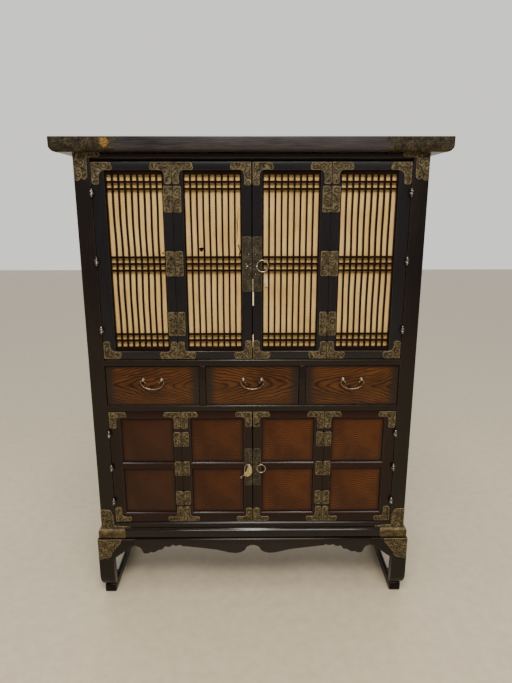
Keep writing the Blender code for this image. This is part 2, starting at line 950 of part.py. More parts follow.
def make_door_pair(tier, side, word):
    """An outer and an inner leaf. Returns the pivot of the inner leaf, for what hangs on it."""
    upper = tier == "upper"
    foot = upper_door_foot if upper else lower_door_foot
    head = upper_door_head if upper else lower_door_head
    middle = upper_door_middle if upper else lower_door_middle
    plate_height = fold_plate_height if upper else low_fold_plate_height
    plate_width = fold_plate_width if upper else low_fold_plate_width
    if upper:
        windows = [(foot + upper_bottom_rail, head - upper_top_rail)]
    else:
        mid_foot = foot + lower_bottom_rail + lower_panel_height
        windows = [
            (foot + lower_bottom_rail, mid_foot),
            (mid_foot + lower_mid_rail, head - lower_top_rail),
        ]
    post_pivot = pivot(
        f"{tier}_{word}_post_pivot", (side * barrel_axis_x, barrel_axis_y, foot)
    )
    fold_pivot = pivot(
        f"{tier}_{word}_fold_pivot", (side * fold_line, fold_axis_y, foot), post_pivot
    )
    for inner, leaf_word, carrier in ((False, "outer", post_pivot), (True, "inner", fold_pivot)):
        name = f"{tier}_{word}_{leaf_word}"
        frame = make_leaf_frame(name + "_frame", side, inner, foot, head, windows)
        group = helper_group(name + "_fittings")
        for height in plate_heights(upper):
            add_fold_hinge(name, side, height, plate_width, plate_height, not inner, group)
        if inner:
            lock = middle + (upper_lock_rise if upper else lower_lock_rise)
            high = upper_lock_plate_height if upper else lower_lock_plate_height
            wide = upper_lock_plate_width if upper else lower_lock_plate_width
            eye = middle + (upper_eye_rise if upper else lower_eye_rise)
            turn = Matrix()
            if side < 0 and not upper:
                eye = middle + padlock_eye_rise
                turn = Matrix.Rotation(math.pi / 2, 4, "Y")
            add_lock_plate(name + "_lock_plate", side, lock, wide, high, group)
            add_eye(name + "_eye", side, eye, turn, group)
        else:
            for height in barrel_heights(upper):
                add_barrel(name + "_barrel", side, height, False, group)
        boolean(frame, "UNION", group)
        carry(carrier, frame)
        for number, (low, high) in enumerate(windows):
            if upper:
                pieces = (
                    make_lattice(name + "_lattice", side, inner, low, high),
                    make_paper(name + "_paper", side, inner, low, high),
                )
            else:
                place = ("low", "high")[number]
                pieces = (make_panel(f"{name}_{place}_panel", side, inner, low, high),)
            for piece in pieces:
                carry(carrier, piece)
    return fold_pivot


def make_ring(name, height, radius, carrier):
    """Pull ring that lies against the lock plate and swings about the eye at its left."""
    place = (eye_from_middle, eye_y, height)
    points = [
        (across, 0, up) for across, up in arc((radius, 0), (radius, radius), 180, 540, ring_turns)
    ]
    mesh = wire_mesh(name, points[:-1], ring_wire, closed=True)
    ring = place_part(name, mesh, place, "bright brass")
    carry(carrier, ring)


def lock_points(across_shares, down_shares):
    """Points of the padlock about its pivot, as (across, up)."""
    return [
        (lock_body_width * across, -lock_body_height * down)
        for across, down in zip(across_shares, down_shares)
    ]


def make_padlock(carrier):
    """Small brass padlock whose bow hangs in the lower left eye, with its key in its foot."""
    height = lower_door_middle + padlock_eye_rise - shackle_rest
    place = Vector((-eye_from_middle, eye_y, height))
    name = "padlock"
    ring = lock_points(lock_across_shares, lock_down_shares)
    body = place_part(name, outline_mesh(name, [ring], lock_body_thickness), place, "bright brass")
    group = helper_group("padlock_fittings")
    bow = [(a, 0, up) for a, up in lock_points(shackle_across_shares, shackle_down_shares)]
    place_helper("shackle", wire_mesh("shackle", bow, shackle_wire), place, group)
    shank = [(a, 0, up) for a, up in lock_points(key_across_shares, key_down_shares)]
    place_helper("key_shank", wire_mesh("key_shank", shank, key_shank_radius), place, group)
    bow_mesh = rod_mesh("key_bow", key_bow_radius, key_thickness, knuckle_sides, upright)
    place_helper("key_bow", bow_mesh, place + Vector(shank[-1]), group)
    boolean(body, "UNION", group)
    carry(carrier, body)


def bail_points():
    """Centre line of a bail about the middle of its axis: pin, turn, sagging grip, turn, pin."""
    inside = bail_half_span - bail_pin_inside
    turn_centre = (bail_half_reach - bail_turn, -bail_turn)
    right = [(inside, 0)]
    right += arc(turn_centre, (bail_turn, bail_turn), 90, 0, bail_turn_steps)
    grip = arc((0, -bail_turn), (bail_half_reach, bail_drop - bail_turn), 0, -180, bail_steps)
    left = [(-across, up) for across, up in reversed(right)]
    return [(across, 0, up) for across, up in right + grip[1:-1] + left]


def make_drawer(name, low_x, high_x):
    """An open box behind a thick front, with two posts that hold its bail."""
    foot = drawer_foot + fit_gap
    head = drawer_head - drawer_top_gap
    body = part_box(
        name,
        (low_x + drawer_side_gap, drawer_face, foot),
        (high_x - drawer_side_gap, drawer_back, head),
        "drawer wood",
    )
    hollow = helper_group(name + "_hollow")
    wall = drawer_side_gap + drawer_side_thickness
    helper_box(
        name + "_hollow",
        (low_x + wall, drawer_face + drawer_front_thickness, foot + drawer_bottom_thickness),
        (high_x - wall, drawer_back - drawer_side_thickness, head + cut_overrun),
        hollow,
    )
    boolean(body, "DIFFERENCE", hollow)
    centre = (low_x + high_x) / 2
    post_length = bail_post_reach + joint_sink
    posts = helper_group(name + "_posts")
    bores = helper_group(name + "_bores")
    middle_y = drawer_face + joint_sink - post_length / 2
    cross = Matrix.Rotation(math.pi / 2, 4, "Y")
    for sign in (-1, 1):
        across = centre + sign * bail_half_span
        mesh = rod_mesh("bail_post", bail_post_radius, post_length, bail_post_sides, upright)
        place_helper("bail_post", mesh, (across, middle_y, bail_axis_z), posts)
        mesh = rod_mesh("bail_bore", bail_bore, 4 * bail_post_radius, bail_post_sides, cross)
        place_helper("bail_bore", mesh, (across, bail_axis_y, bail_axis_z), bores)
    boolean(body, "UNION", posts)
    boolean(body, "DIFFERENCE", bores)
    slide = pivot(name + "_slide", (centre, drawer_face, drawer_foot))
    carry(slide, body)
    bail_name = name.replace("drawer", "bail")
    mesh = wire_mesh(bail_name, bail_points(), bail_wire)
    bail = place_part(bail_name, mesh, (centre, bail_axis_y, bail_axis_z), "bright brass")
    carry(slide, bail)


def make_drawers():
    make_drawer("drawer_left", -half_opening, -side_drawer_inside)
    make_drawer("drawer_middle", -middle_drawer_half_opening, middle_drawer_half_opening)
    make_drawer("drawer_right", side_drawer_inside, half_opening)


def make_doors():
    make_door_pair("upper", -1, "left")
    upper_right = make_door_pair("upper", 1, "right")
    make_ring("upper_ring", upper_door_middle + upper_eye_rise, upper_ring_radius, upper_right)
    lower_left = make_door_pair("lower", -1, "left")
    lower_right = make_door_pair("lower", 1, "right")
    make_ring("lower_ring", lower_door_middle + lower_eye_rise, lower_ring_radius, lower_right)
    make_padlock(lower_left)


def make_cabinet():
    make_top_board()
    make_posts()
    make_rails()
    make_sides()
    make_back_and_floors()
    make_dividers()
    make_base_frame()
    make_legs()
    make_front_apron()
    make_side_aprons()
    make_runners()
    make_doors()
    make_drawers()
    for piece in parts.objects:
        if piece.type == "MESH":
            piece.data.shade_smooth()
            piece.data.set_sharp_from_angle(angle=math.radians(35))


clear_scene()
parts = new_collection("display_cabinet")
cutters = new_collection("cutters")
cutters.hide_render = True
make_cabinet()
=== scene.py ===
# %% [markdown]
# # A brass-bound display cabinet
#
# The cabinet comes as plain solids: a slab top, posts, rails, folding doors, drawers and a footed stand.
# This lesson dresses them. Each board is planed and eased along its edges, the doors get their lattice,
# paper and panels, the brass is cut, engraved and nailed on, and every surface gets wood, metal or
# paper made from nodes. Nothing moves away from the solids, so each new piece rides with one of them.

# %% Load the frame
import json
import math

import bmesh
import bpy
from mathutils import Matrix, Vector

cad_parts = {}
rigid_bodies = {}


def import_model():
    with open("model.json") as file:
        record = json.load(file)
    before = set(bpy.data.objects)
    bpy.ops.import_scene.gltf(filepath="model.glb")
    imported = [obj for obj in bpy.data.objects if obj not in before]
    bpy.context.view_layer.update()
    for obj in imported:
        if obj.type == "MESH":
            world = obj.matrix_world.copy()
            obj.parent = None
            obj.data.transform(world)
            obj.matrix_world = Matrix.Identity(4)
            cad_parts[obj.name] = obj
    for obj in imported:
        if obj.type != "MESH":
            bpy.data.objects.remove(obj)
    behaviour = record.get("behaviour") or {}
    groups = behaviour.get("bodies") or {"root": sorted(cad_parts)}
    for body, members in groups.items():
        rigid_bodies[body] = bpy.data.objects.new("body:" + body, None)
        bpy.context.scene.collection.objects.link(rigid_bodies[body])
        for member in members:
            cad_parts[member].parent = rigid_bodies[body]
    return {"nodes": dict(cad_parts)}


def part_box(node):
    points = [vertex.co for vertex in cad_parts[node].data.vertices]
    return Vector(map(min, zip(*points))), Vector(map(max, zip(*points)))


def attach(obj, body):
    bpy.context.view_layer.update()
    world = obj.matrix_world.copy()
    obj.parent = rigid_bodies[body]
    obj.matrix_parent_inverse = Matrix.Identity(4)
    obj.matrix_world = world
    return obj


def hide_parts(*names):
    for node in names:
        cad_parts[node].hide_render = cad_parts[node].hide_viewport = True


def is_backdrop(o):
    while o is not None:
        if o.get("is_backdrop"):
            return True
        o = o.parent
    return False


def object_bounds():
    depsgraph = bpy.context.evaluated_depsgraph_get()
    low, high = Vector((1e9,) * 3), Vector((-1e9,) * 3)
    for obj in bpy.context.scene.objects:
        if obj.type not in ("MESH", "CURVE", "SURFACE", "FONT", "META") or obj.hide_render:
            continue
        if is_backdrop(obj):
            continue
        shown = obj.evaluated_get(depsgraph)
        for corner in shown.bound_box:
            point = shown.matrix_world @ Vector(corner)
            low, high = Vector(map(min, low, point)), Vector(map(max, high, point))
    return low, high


for start_object in list(bpy.data.objects):
    bpy.data.objects.remove(start_object)
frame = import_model()
cad_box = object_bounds()

# %% [markdown]
# ## The camera
#
# The photograph was taken from about a metre and a half in front of the doors, at about the height of the
# upper leaves and with the camera tipped down by fourteen degrees. A camera could be aimed
# with a constraint, but the small sideways turn and the roll are easier to give as three directions:
# where it looks, what is to its right, and what is up. A lens of 28 mm gives the photograph's wide view.

# %% Place the camera
CAMERA_PLACE = Vector((0, -1.685, 1.2098))
PITCH, TURN, ROLL = (math.radians(angle) for angle in (-14.08, 0.405, -0.057))


def camera_matrix():
    ahead = Vector((math.sin(TURN) * math.cos(PITCH), math.cos(TURN) * math.cos(PITCH), math.sin(PITCH)))
    right = Vector((math.cos(TURN), -math.sin(TURN), 0))
    up = right.cross(ahead)
    rolled_right = right * math.cos(ROLL) + up * math.sin(ROLL)
    rolled_up = up * math.cos(ROLL) - right * math.sin(ROLL)
    turn = Matrix((rolled_right, rolled_up, -ahead)).transposed().to_4x4()
    return Matrix.Translation(CAMERA_PLACE) @ turn


def add_object(name, data):
    made = bpy.data.objects.new(name, data)
    bpy.context.scene.collection.objects.link(made)
    return made


camera = add_object("camera", bpy.data.cameras.new("camera"))
camera.data.sensor_width = 36
camera.data.lens = 28.27
camera.matrix_world = camera_matrix()
bpy.context.scene.camera = camera
print("camera", [round(x, 3) for x in camera.location])

# %% [markdown]
# ## Tools for shapes
#
# Every piece starts as a bmesh. One extra layer is kept on its face corners, called worn: it is 1 on the
# faces that an easing cuts along an arris, and 0 on the rest. The finishes read it, so paint rubs off and
# brass shines where hands touch the real cabinet. The flat border inset round each cut brass sheet is
# marked too, which paints a highlight along its rim as well as rubbed brass. A value on corners doesn't
# bleed across a wide board as a value on points would.

# %% Shape tools
MERGE = 0.00001


def new_shape():
    shape = bmesh.new()
    shape.loops.layers.float.new("worn")
    return shape


def box(shape, low, high):
    """A box between two corners. Returns its points."""
    points = bmesh.ops.create_cube(shape, size=1)["verts"]
    low, high = Vector(low), Vector(high)
    size = Vector([abs(b - a) for a, b in zip(low, high)])
    bmesh.ops.scale(shape, vec=size, verts=points)
    bmesh.ops.translate(shape, vec=(low + high) / 2, verts=points)
    return points


def edges_of(points):
    return list({edge for point in points for edge in point.link_edges})


def sharp_edges(shape, least=30):
    limit = math.radians(least)
    return [e for e in shape.edges if len(e.link_faces) == 2 and e.calc_face_angle() > limit]


def wear(shape, faces, amount):
    layer = shape.loops.layers.float["worn"]
    for face in faces:
        for corner in face.loops:
            corner[layer] = amount


def ease(shape, edges, width, steps=2, worn=1.0):
    """Rounds edges off, and marks the new faces as worn."""
    made = bmesh.ops.bevel(shape, geom=edges, offset=width, segments=steps, profile=0.5,
                           affect="EDGES", material=-1, clamp_overlap=True)
    wear(shape, made["faces"], worn)


def thicken(shape, faces, depth):
    """Draws flat faces out along Y to a board or a sheet."""
    made = bmesh.ops.extrude_face_region(shape, geom=faces)["geom"]
    moved = [g for g in made if isinstance(g, bmesh.types.BMVert)]
    bmesh.ops.translate(shape, vec=(0, depth, 0), verts=moved)


# %% [markdown]
# A piece with many small parts is one bmesh, but each part is made in a bmesh of its own and added when
# it is done, so an operator that takes "all edges" can't touch its neighbours. The finished bmesh becomes
# an object with its finishes, and rides on the body that carries it.

# %% Joining and finishing
def mesh_from(name, shape, finishes=()):
    mesh = bpy.data.meshes.new(name)
    shape.to_mesh(mesh)
    shape.free()
    for finish in finishes:
        mesh.materials.append(finish)
    return mesh


def join_part(shape, part, material=0):
    """Adds a small part, made in a bmesh of its own, to the piece that it belongs to."""
    for face in part.faces:
        face.material_index = material
    bmesh.ops.recalc_face_normals(part, faces=part.faces)
    mesh = mesh_from("part", part)
    shape.from_mesh(mesh)
    bpy.data.meshes.remove(mesh)


def eased_box(shape, low, high, width, steps=1, worn=1.0):
    """A box with every edge eased."""
    part = new_shape()
    box(part, low, high)
    ease(part, part.edges[:], width, steps, worn)
    join_part(shape, part)


def finish_piece(name, shape, finishes, body, stands_for=()):
    """Makes the bmesh a piece of the cabinet that rides on its body."""
    mesh = mesh_from(name, shape, finishes)
    mesh.shade_smooth()
    mesh.set_sharp_from_angle(angle=math.radians(38))
    piece = add_object(name, mesh)
    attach(piece, body)
    if stands_for:
        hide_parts(*stands_for)


# %% [markdown]
# ## Tools for finishes
#
# A finish is a small tree of nodes that ends in one Principled shader. A small class holds the tree, so that
# each node is one short call: a plain number fills a socket, and another node's output is linked to it.
# The grain reads Object coordinates, which are metres here, so a scale of 400 is a 2.5 mm feature.

# %% Node tools
class Nodes:
    """A tree of nodes while it is being built."""

    def __init__(self, tree):
        self.tree = tree

    def fill(self, socket, value):
        if isinstance(value, bpy.types.NodeSocket):
            self.tree.links.new(value, socket)
        else:
            socket.default_value = value

    def node(self, kind, sockets=None, **settings):
        made = self.tree.nodes.new("ShaderNode" + kind)
        for key, value in settings.items():
            setattr(made, key, value)
        for key, value in (sockets or {}).items():
            self.fill(made.inputs[key], value)
        return made

    def maths(self, operation, *values):
        return self.node("Math", dict(enumerate(values)), operation=operation).outputs[0]

    def times(self, value, factor):
        return self.maths("MULTIPLY", value, factor)

    def total(self, first, *others):
        """The first value and a share of each of the others."""
        for value, share in others:
            first = self.maths("ADD", first, self.times(value, share))
        return first

    def vector(self, operation, sockets):
        return self.node("VectorMath", sockets, operation=operation).outputs

    def axes(self, vector):
        return self.node("SeparateXYZ", {0: vector}).outputs

    def ramp(self, factor, *stops):
        """Greys or colours along a scale. Each stop is a place and a grey or a colour."""
        made = self.node("ValToRGB", {"Fac": factor})
        points = made.color_ramp.elements
        while len(points) < len(stops):
            points.new(1)
        for point, (place, colour) in zip(points, stops):
            point.position = place
            point.color = (colour,) * 3 + (1,) if isinstance(colour, (int, float)) else (*colour, 1)
        return made.outputs["Color"]

    def blend(self, factor, first, second):
        """From the first colour to the second."""
        made = self.node("Mix", {0: factor}, data_type="RGBA")
        for place, value in ((6, first), (7, second)):
            self.fill(made.inputs[place], value if isinstance(value, bpy.types.NodeSocket) else (*value, 1))
        return made.outputs[2]

    def tint(self, colour, mask, share, second):
        """Puts a share of a second colour where the mask is."""
        return self.blend(self.times(mask, share), colour, second)

    def place(self, stretch=(1, 1, 1), shift=(0, 0, 0)):
        """Object coordinates, shifted and stretched."""
        coordinates = self.node("TexCoord").outputs["Object"]
        return self.node("Mapping", {"Vector": coordinates, "Scale": stretch, "Location": shift}).outputs[0]

    def noise(self, vector, scale, detail=3, roughness=0.55):
        return self.node("TexNoise", {"Vector": vector, "Scale": scale, "Detail": detail,
                                      "Roughness": roughness}).outputs["Fac"]

    def grain(self, along, draw, *noise_values):
        """Noise that is drawn out along one axis."""
        return self.noise(self.place([draw if axis == along else 1 for axis in "XYZ"]), *noise_values)

    def worn(self, low=0.35, high=0.6):
        """The worn arrises, broken up so that they aren't one even line."""
        arris = self.node("Attribute", attribute_name="worn").outputs["Fac"]
        return self.times(arris, self.ramp(self.noise(self.place(), 90, 4, 0.65), (low, 0), (high, 1)))


class Finish(Nodes):
    """A material while it is being built."""

    def __init__(self, name, metallic=0.0, gloss=0.5):
        self.material = bpy.data.materials.new(name)
        self.material.use_nodes = True
        super().__init__(self.material.node_tree)
        self.shader = self.tree.nodes["Principled BSDF"].inputs
        self.shader["Metallic"].default_value = metallic
        self.shader["Specular IOR Level"].default_value = gloss

    def done(self, colour, rough_source, spread, least, height, depth):
        """Roughness is the least value and a spread of its source. The bump's depth is in metres."""
        self.fill(self.shader["Base Color"], colour)
        self.fill(self.shader["Roughness"], self.maths("ADD", self.times(rough_source, spread), least))
        bump = self.node("Bump", {"Height": height, "Distance": depth, "Strength": 1.0})
        self.fill(self.shader["Normal"], bump.outputs["Normal"])
        return self.material


# %% [markdown]
# ## Black lacquered wood
#
# The carcass, the stand and the door frames are a dark brown, almost black lacquer over open grain.
# Under a lamp the arrises show brown wood where they are rubbed. Grain runs along each board, so the
# same recipe is made with the noise drawn out along X, along Y or along Z. The lacquer has not aged
# alike everywhere: the upper door frames are a little blue, the lower ones red, the base and the front
# legs keep a polish, and the lattice bars are thin and dull. The top board is painted lighter and grey,
# a painted sheen for the soft reflection of the room on its front.

# %% Lacquer
def make_lacquer(name, along, tones, gloss=0.26, least_rough=0.15):
    """tones are the dark and the light of the grain."""
    t = Finish(name, gloss=gloss)
    grain = t.grain(along, 0.045, 420, 4, 0.6)
    cloud = t.grain(along, 0.3, 9, 3, 0.55)
    colour = t.ramp(t.total(t.times(grain, 0.55), (cloud, 0.6)), (0.38, tones[0]), (0.78, tones[1]))
    colour = t.tint(colour, t.worn(), 0.5, (0.050, 0.032, 0.022))
    return t.done(colour, cloud, 1.4 * least_rough, least_rough, grain, 0.00010)


CARCASS_TONES = ((0.0052, 0.0034, 0.0024), (0.0150, 0.0088, 0.0058))
STAND_TONES = ((0.0036, 0.0024, 0.0016), (0.0080, 0.0050, 0.0034))
DOOR_TONES = {("upper", "X"): (((0.0066, 0.0056, 0.0062), (0.0152, 0.0130, 0.0140)), 0.26),
              ("upper", "Z"): (((0.0062, 0.0052, 0.0060), (0.0142, 0.0120, 0.0132)), 0.26),
              ("lower", "X"): (((0.0115, 0.0036, 0.0024), (0.0250, 0.0084, 0.0058)), 0.20),
              ("lower", "Z"): (((0.0080, 0.0034, 0.0024), (0.0165, 0.0082, 0.0060)), 0.24)}
lacquer = {along: make_lacquer("carcass_lacquer_grain_" + along.lower(), along, CARCASS_TONES)
           for along in "XYZ"}
door_lacquer = {(tier, along): make_lacquer(f"{tier}_door_lacquer_grain_{along.lower()}", along, *tones)
                for (tier, along), tones in DOOR_TONES.items()}
stand_lacquer = {along: make_lacquer("stand_lacquer_grain_" + along.lower(), along, STAND_TONES, 0.14)
                 for along in "YZ"}
base_lacquer = make_lacquer("base_lacquer", "X", ((0.0044, 0.0028, 0.0020), (0.0130, 0.0076, 0.0050)),
                            0.34, 0.07)
front_leg_lacquer = make_lacquer("front_leg_lacquer", "Z", STAND_TONES, 0.26, 0.10)
lattice_lacquer = make_lacquer("lattice_lacquer", "Z", ((0.0060, 0.0022, 0.0008), (0.0160, 0.0060, 0.0025)),
                               0.10)
# Painted sheen: lighter grey tones stand in for the soft reflection of the room on the top board's front.
top_sheen_lacquer = make_lacquer("top_board_painted_sheen_lacquer", "X", ((0.0140, 0.0115, 0.0118), (0.0800, 0.0690, 0.0700)))
print("lacquers", sorted(lacquer), sorted(door_lacquer), sorted(stand_lacquer))

# %% [markdown]
# ## Brass
#
# The mounts are sheet brass, engraved with running scrolls and gone olive brown with age. The engraving
# could be modelled, but at less than half a millimetre deep it is better as a bump. A Voronoi texture
# scatters points over the sheet, and around each one a spiral is drawn: the sine of the distance from
# the point plus the angle about it. The rubbed edges and high spots stay golden, and the lighter rims
# along each sheet's edges are a painted highlight as well as rubbed brass. The pulls and the
# padlock are handled every day, so their brass is brighter and plain, and the barrel hinges went grey.

# %% Brasses
SCROLL = 0.0190
SCROLL_PITCH = 0.0074


def scroll_lines(t, place):
    """Spirals about scattered points: 0 in the engraved line and 1 on the metal between."""
    x, y, z = t.axes(place)
    flat = t.node("CombineXYZ", {"X": t.maths("ADD", x, y), "Y": z}).outputs[0]
    sway = t.node("TexNoise", {"Vector": flat, "Scale": 120, "Detail": 2.0}).outputs["Color"]
    flat = t.vector("ADD", {0: flat, 1: t.vector("SCALE", {0: sway, "Scale": 0.0035})[0]})[0]
    middle = t.node("TexVoronoi", {"Vector": flat, "Scale": 1 / SCROLL}).outputs["Position"]
    arm = t.vector("SUBTRACT", {0: flat, 1: middle})[0]
    reach = t.vector("LENGTH", {0: arm})["Value"]
    x, y, _ = t.axes(arm)
    turns = t.maths("ADD", t.times(reach, 2 * math.pi / SCROLL_PITCH), t.maths("ARCTAN2", y, x))
    return t.ramp(t.maths("MULTIPLY_ADD", t.maths("SINE", turns), 0.5, 0.5), (0.14, 0), (0.46, 1))


def make_engraved_brass(name, tones, plain=0.20, patch=None):
    """tones are the dark, middle and light of the metal, plain is how far the lines are rubbed out,
    and patch is the middle of a rubbed place."""
    t = Finish(name, metallic=0.45, gloss=0.26)
    place = t.place()
    lines = scroll_lines(t, place)
    tarnish = t.noise(place, 60, 4, 0.6)
    metal = t.ramp(tarnish, (0.34, tones[0]), (0.50, tones[1]), (0.66, tones[2]))
    if patch:
        reach = t.vector("LENGTH", {0: t.place(shift=[-x for x in patch])})["Value"]
        rubbed = t.ramp(t.total(reach, (tarnish, 0.030)), (0.022, 0.8), (0.030, 0))
        metal = t.blend(rubbed, metal, (0.420, 0.215, 0.045))
    colour = t.blend(plain, t.blend(lines, (0.008, 0.006, 0.004), metal), metal)
    # Lighter brass on the marked rims: rubbed brass, and a painted highlight along them.
    colour = t.tint(colour, t.worn(0.2, 0.5), 0.6, [1.7 * tone for tone in tones[2]])
    return t.done(colour, tarnish, 0.30, 0.30, lines, 0.00012)


def make_handled_brass(name, pale, deep, smoothness):
    t = Finish(name, metallic=0.9)
    stains = t.noise(t.place(), 240, 3, 0.6)
    return t.done(t.ramp(stains, (0.36, deep), (0.58, pale)), stains, 0.22, smoothness, stains, 0.00005)


OLIVE_BRASS = ((0.056, 0.043, 0.021), (0.110, 0.084, 0.044), (0.210, 0.160, 0.084))
PLATE_BRASS = ((0.030, 0.025, 0.016), (0.056, 0.046, 0.030), (0.100, 0.080, 0.050))
DULL_BRASS = ((0.022, 0.017, 0.010), (0.046, 0.036, 0.021), (0.088, 0.067, 0.036))
WARM_BRASS = ((0.052, 0.037, 0.016), (0.104, 0.075, 0.032), (0.210, 0.150, 0.066))
engraved_brass = make_engraved_brass("engraved_brass", OLIVE_BRASS)
plate_brass = make_engraved_brass("lock_plate_brass", PLATE_BRASS, 0.5)
end_brass = make_engraved_brass("end_brass", DULL_BRASS, 0.45)
rubbed_brass = make_engraved_brass("rubbed_end_brass", DULL_BRASS, 0.45, (-0.383, -0.215, 1.374))
wrap_brass = make_engraved_brass("wrap_brass", WARM_BRASS, 0.72)
hinge_metal = make_handled_brass("hinge_metal", (0.34, 0.32, 0.27), (0.030, 0.027, 0.022), 0.14)
pull_brass = make_handled_brass("pull_brass", (0.56, 0.48, 0.35), (0.26, 0.20, 0.12), 0.18)
bail_brass = make_handled_brass("bail_brass", (0.33, 0.25, 0.18), (0.095, 0.066, 0.045), 0.18)
lock_brass = make_handled_brass("lock_brass", (0.66, 0.53, 0.29), (0.32, 0.23, 0.10), 0.24)
nail_brass = make_handled_brass("nail_brass", (0.060, 0.045, 0.026), (0.020, 0.015, 0.010), 0.35)
iron = make_handled_brass("key_iron", (0.42, 0.40, 0.37), (0.12, 0.11, 0.10), 0.30)
print("brasses made")

# %% [markdown]
# ## Figured woods and paper
#
# The drawer fronts are cut so that the growth rings run out as tall nested arches, a cathedral figure.
# A board through nested cones shows this: a point's ring is its distance from the heart line, less a
# share of its distance along the board. The same sum, made of Math nodes, gives the arches. The door
# panels have a finer figure, close stripes that ripple from side to side. Both woods go darker along
# their border: on the panels that is painted shade where the frame's recess shades them, on the drawer
# fronts the ends go darker, and a band of painted shade lies along their top and bottom edges.

# %% Drawer and panel woods
def rippled(t, shift, push):
    """Object coordinates with a little noise pushed into them."""
    place = t.place(shift=shift)
    bend = t.node("TexNoise", {"Vector": place, "Scale": 13, "Detail": 3.0}).outputs["Color"]
    bend = t.vector("SUBTRACT", {0: bend, 1: (0.5, 0.5, 0.5)})[0]
    return t.vector("ADD", {0: place, 1: t.vector("SCALE", {0: bend, "Scale": push})[0]})[0]


def make_drawer_wood(name, heart, opens, corners):
    """heart is the (x, z) where the arches start, and opens the way they open along X."""
    low, high = corners
    centre, half = (low + high) / 2, (high - low) / 2
    t = Finish(name, gloss=0.26)
    place = rippled(t, (-heart[0], 0, -heart[1]), 0.030)
    x, _, z = t.axes(place)
    cone = t.maths("SQRT", t.maths("ADD", t.maths("POWER", t.maths("ABSOLUTE", z), 2.0), 0.00012))
    ring = t.maths("SUBTRACT", cone, t.times(t.times(x, opens), 0.22))
    ring = t.total(ring, (t.grain("X", 0.30, 30, 2, 0.5), 0.016))
    wave = t.maths("SINE", t.times(ring, 790))
    late = t.ramp(t.maths("MULTIPLY_ADD", wave, 0.5, 0.5), (0.0, 0.15), (0.26, 0.75), (0.8, 1))
    fibre = t.grain("X", 0.06, 520, 4, 0.65)
    patch = t.grain("X", 0.35, 22, 3, 0.6)
    strength = t.ramp(t.noise(place, 26, 2, 0.5), (0.38, 0.18), (0.62, 0.52))
    figure = t.times(t.maths("SUBTRACT", late, 0.7), strength)
    colour = t.ramp(t.total(figure, (fibre, 0.45), (patch, 0.60)),
                    (0.26, (0.010, 0.0032, 0.0010)), (0.42, (0.030, 0.0090, 0.0022)),
                    (0.56, (0.064, 0.0205, 0.0044)), (0.80, (0.125, 0.0430, 0.0080)))
    # The front goes darker towards its two ends.
    x, _, z = t.axes(t.place(shift=(-centre.x, 0, -centre.z)))
    feather = t.total(t.maths("ABSOLUTE", x), (fibre, 0.020))
    end = t.ramp(t.maths("DIVIDE", feather, half.x), (0.84, 0), (0.98, 1))
    colour = t.tint(colour, end, 0.9, (0.016, 0.011, 0.008))
    # Painted shade: a dark band along the top and bottom edges stands in for the shadow over the recessed
    # front.
    up = t.maths("DIVIDE", t.maths("ABSOLUTE", z), half.z)
    colour = t.blend(t.ramp(up, (0.86, 0), (0.99, 0.75)), colour, (0.016, 0.009, 0.006))
    colour = t.tint(colour, t.worn(), 0.5, (0.024, 0.014, 0.009))
    return t.done(colour, fibre, 0.20, 0.22, fibre, 0.00008)


def make_panel_wood(name, corners, colours, sway_share, amount):
    """Close stripes that dip in the middle. colours are the dark, middle and light of the stain."""
    low, high = corners
    middle, half = (low + high) / 2, (high - low) / 2
    to_middle = (-middle.x, 0, -middle.z)
    t = Finish(name, gloss=0.26)
    place = rippled(t, to_middle, 0.022)
    x, _, z = t.axes(place)
    line = t.total(z, (t.maths("COSINE", t.times(x, 50)), 0.017 * sway_share))
    wave = t.maths("SINE", t.times(line, 1100))
    fibre = t.grain("X", 0.10, 600, 3, 0.6)
    cloud = t.noise(place, 12, 3, 0.5)
    clear = t.ramp(t.noise(place, 20, 2, 0.5), (0.38, 0.15), (0.60, 1))
    figure = t.times(t.times(wave, amount), clear)
    colour = t.ramp(t.total(figure, (fibre, 0.35), (cloud, 0.6)),
                    (0.25, colours[0]), (0.50, colours[1]), (0.75, colours[2]))
    x, _, z = t.axes(t.place(shift=to_middle))
    reach = [t.maths("DIVIDE", t.maths("ABSOLUTE", way), size) for way, size in ((x, half.x), (z, half.z))]
    # Painted shade: the dark border stands in for the shadow that the frame's recess casts on the panel.
    border = t.ramp(t.maths("MAXIMUM", *reach), (0.84, 0), (1.0, 0.7))
    colour = t.blend(border, colour, (0.008, 0.004, 0.003))
    colour = t.tint(colour, t.worn(), 0.5, (0.120, 0.055, 0.028))
    return t.done(colour, fibre, 0.20, 0.26, fibre, 0.00006)


# %% [markdown]
# The bare wood inside the drawers and behind the carcass is a plain pale brown board, and the paper is
# mulberry paper: cream, unevenly aged, with long fibres that lie every way.

# %% Plain wood and paper
def make_bare_wood(along):
    t = Finish("bare_wood_grain_" + along.lower())
    grain = t.grain(along, 0.05, 300, 4, 0.6)
    tone = t.total(t.times(grain, 0.5), (t.grain(along, 0.25, 14, 3, 0.55), 0.5))
    colour = t.ramp(tone, (0.32, (0.090, 0.048, 0.024)), (0.68, (0.230, 0.140, 0.075)))
    return t.done(colour, grain, 0.2, 0.5, grain, 0.0001)


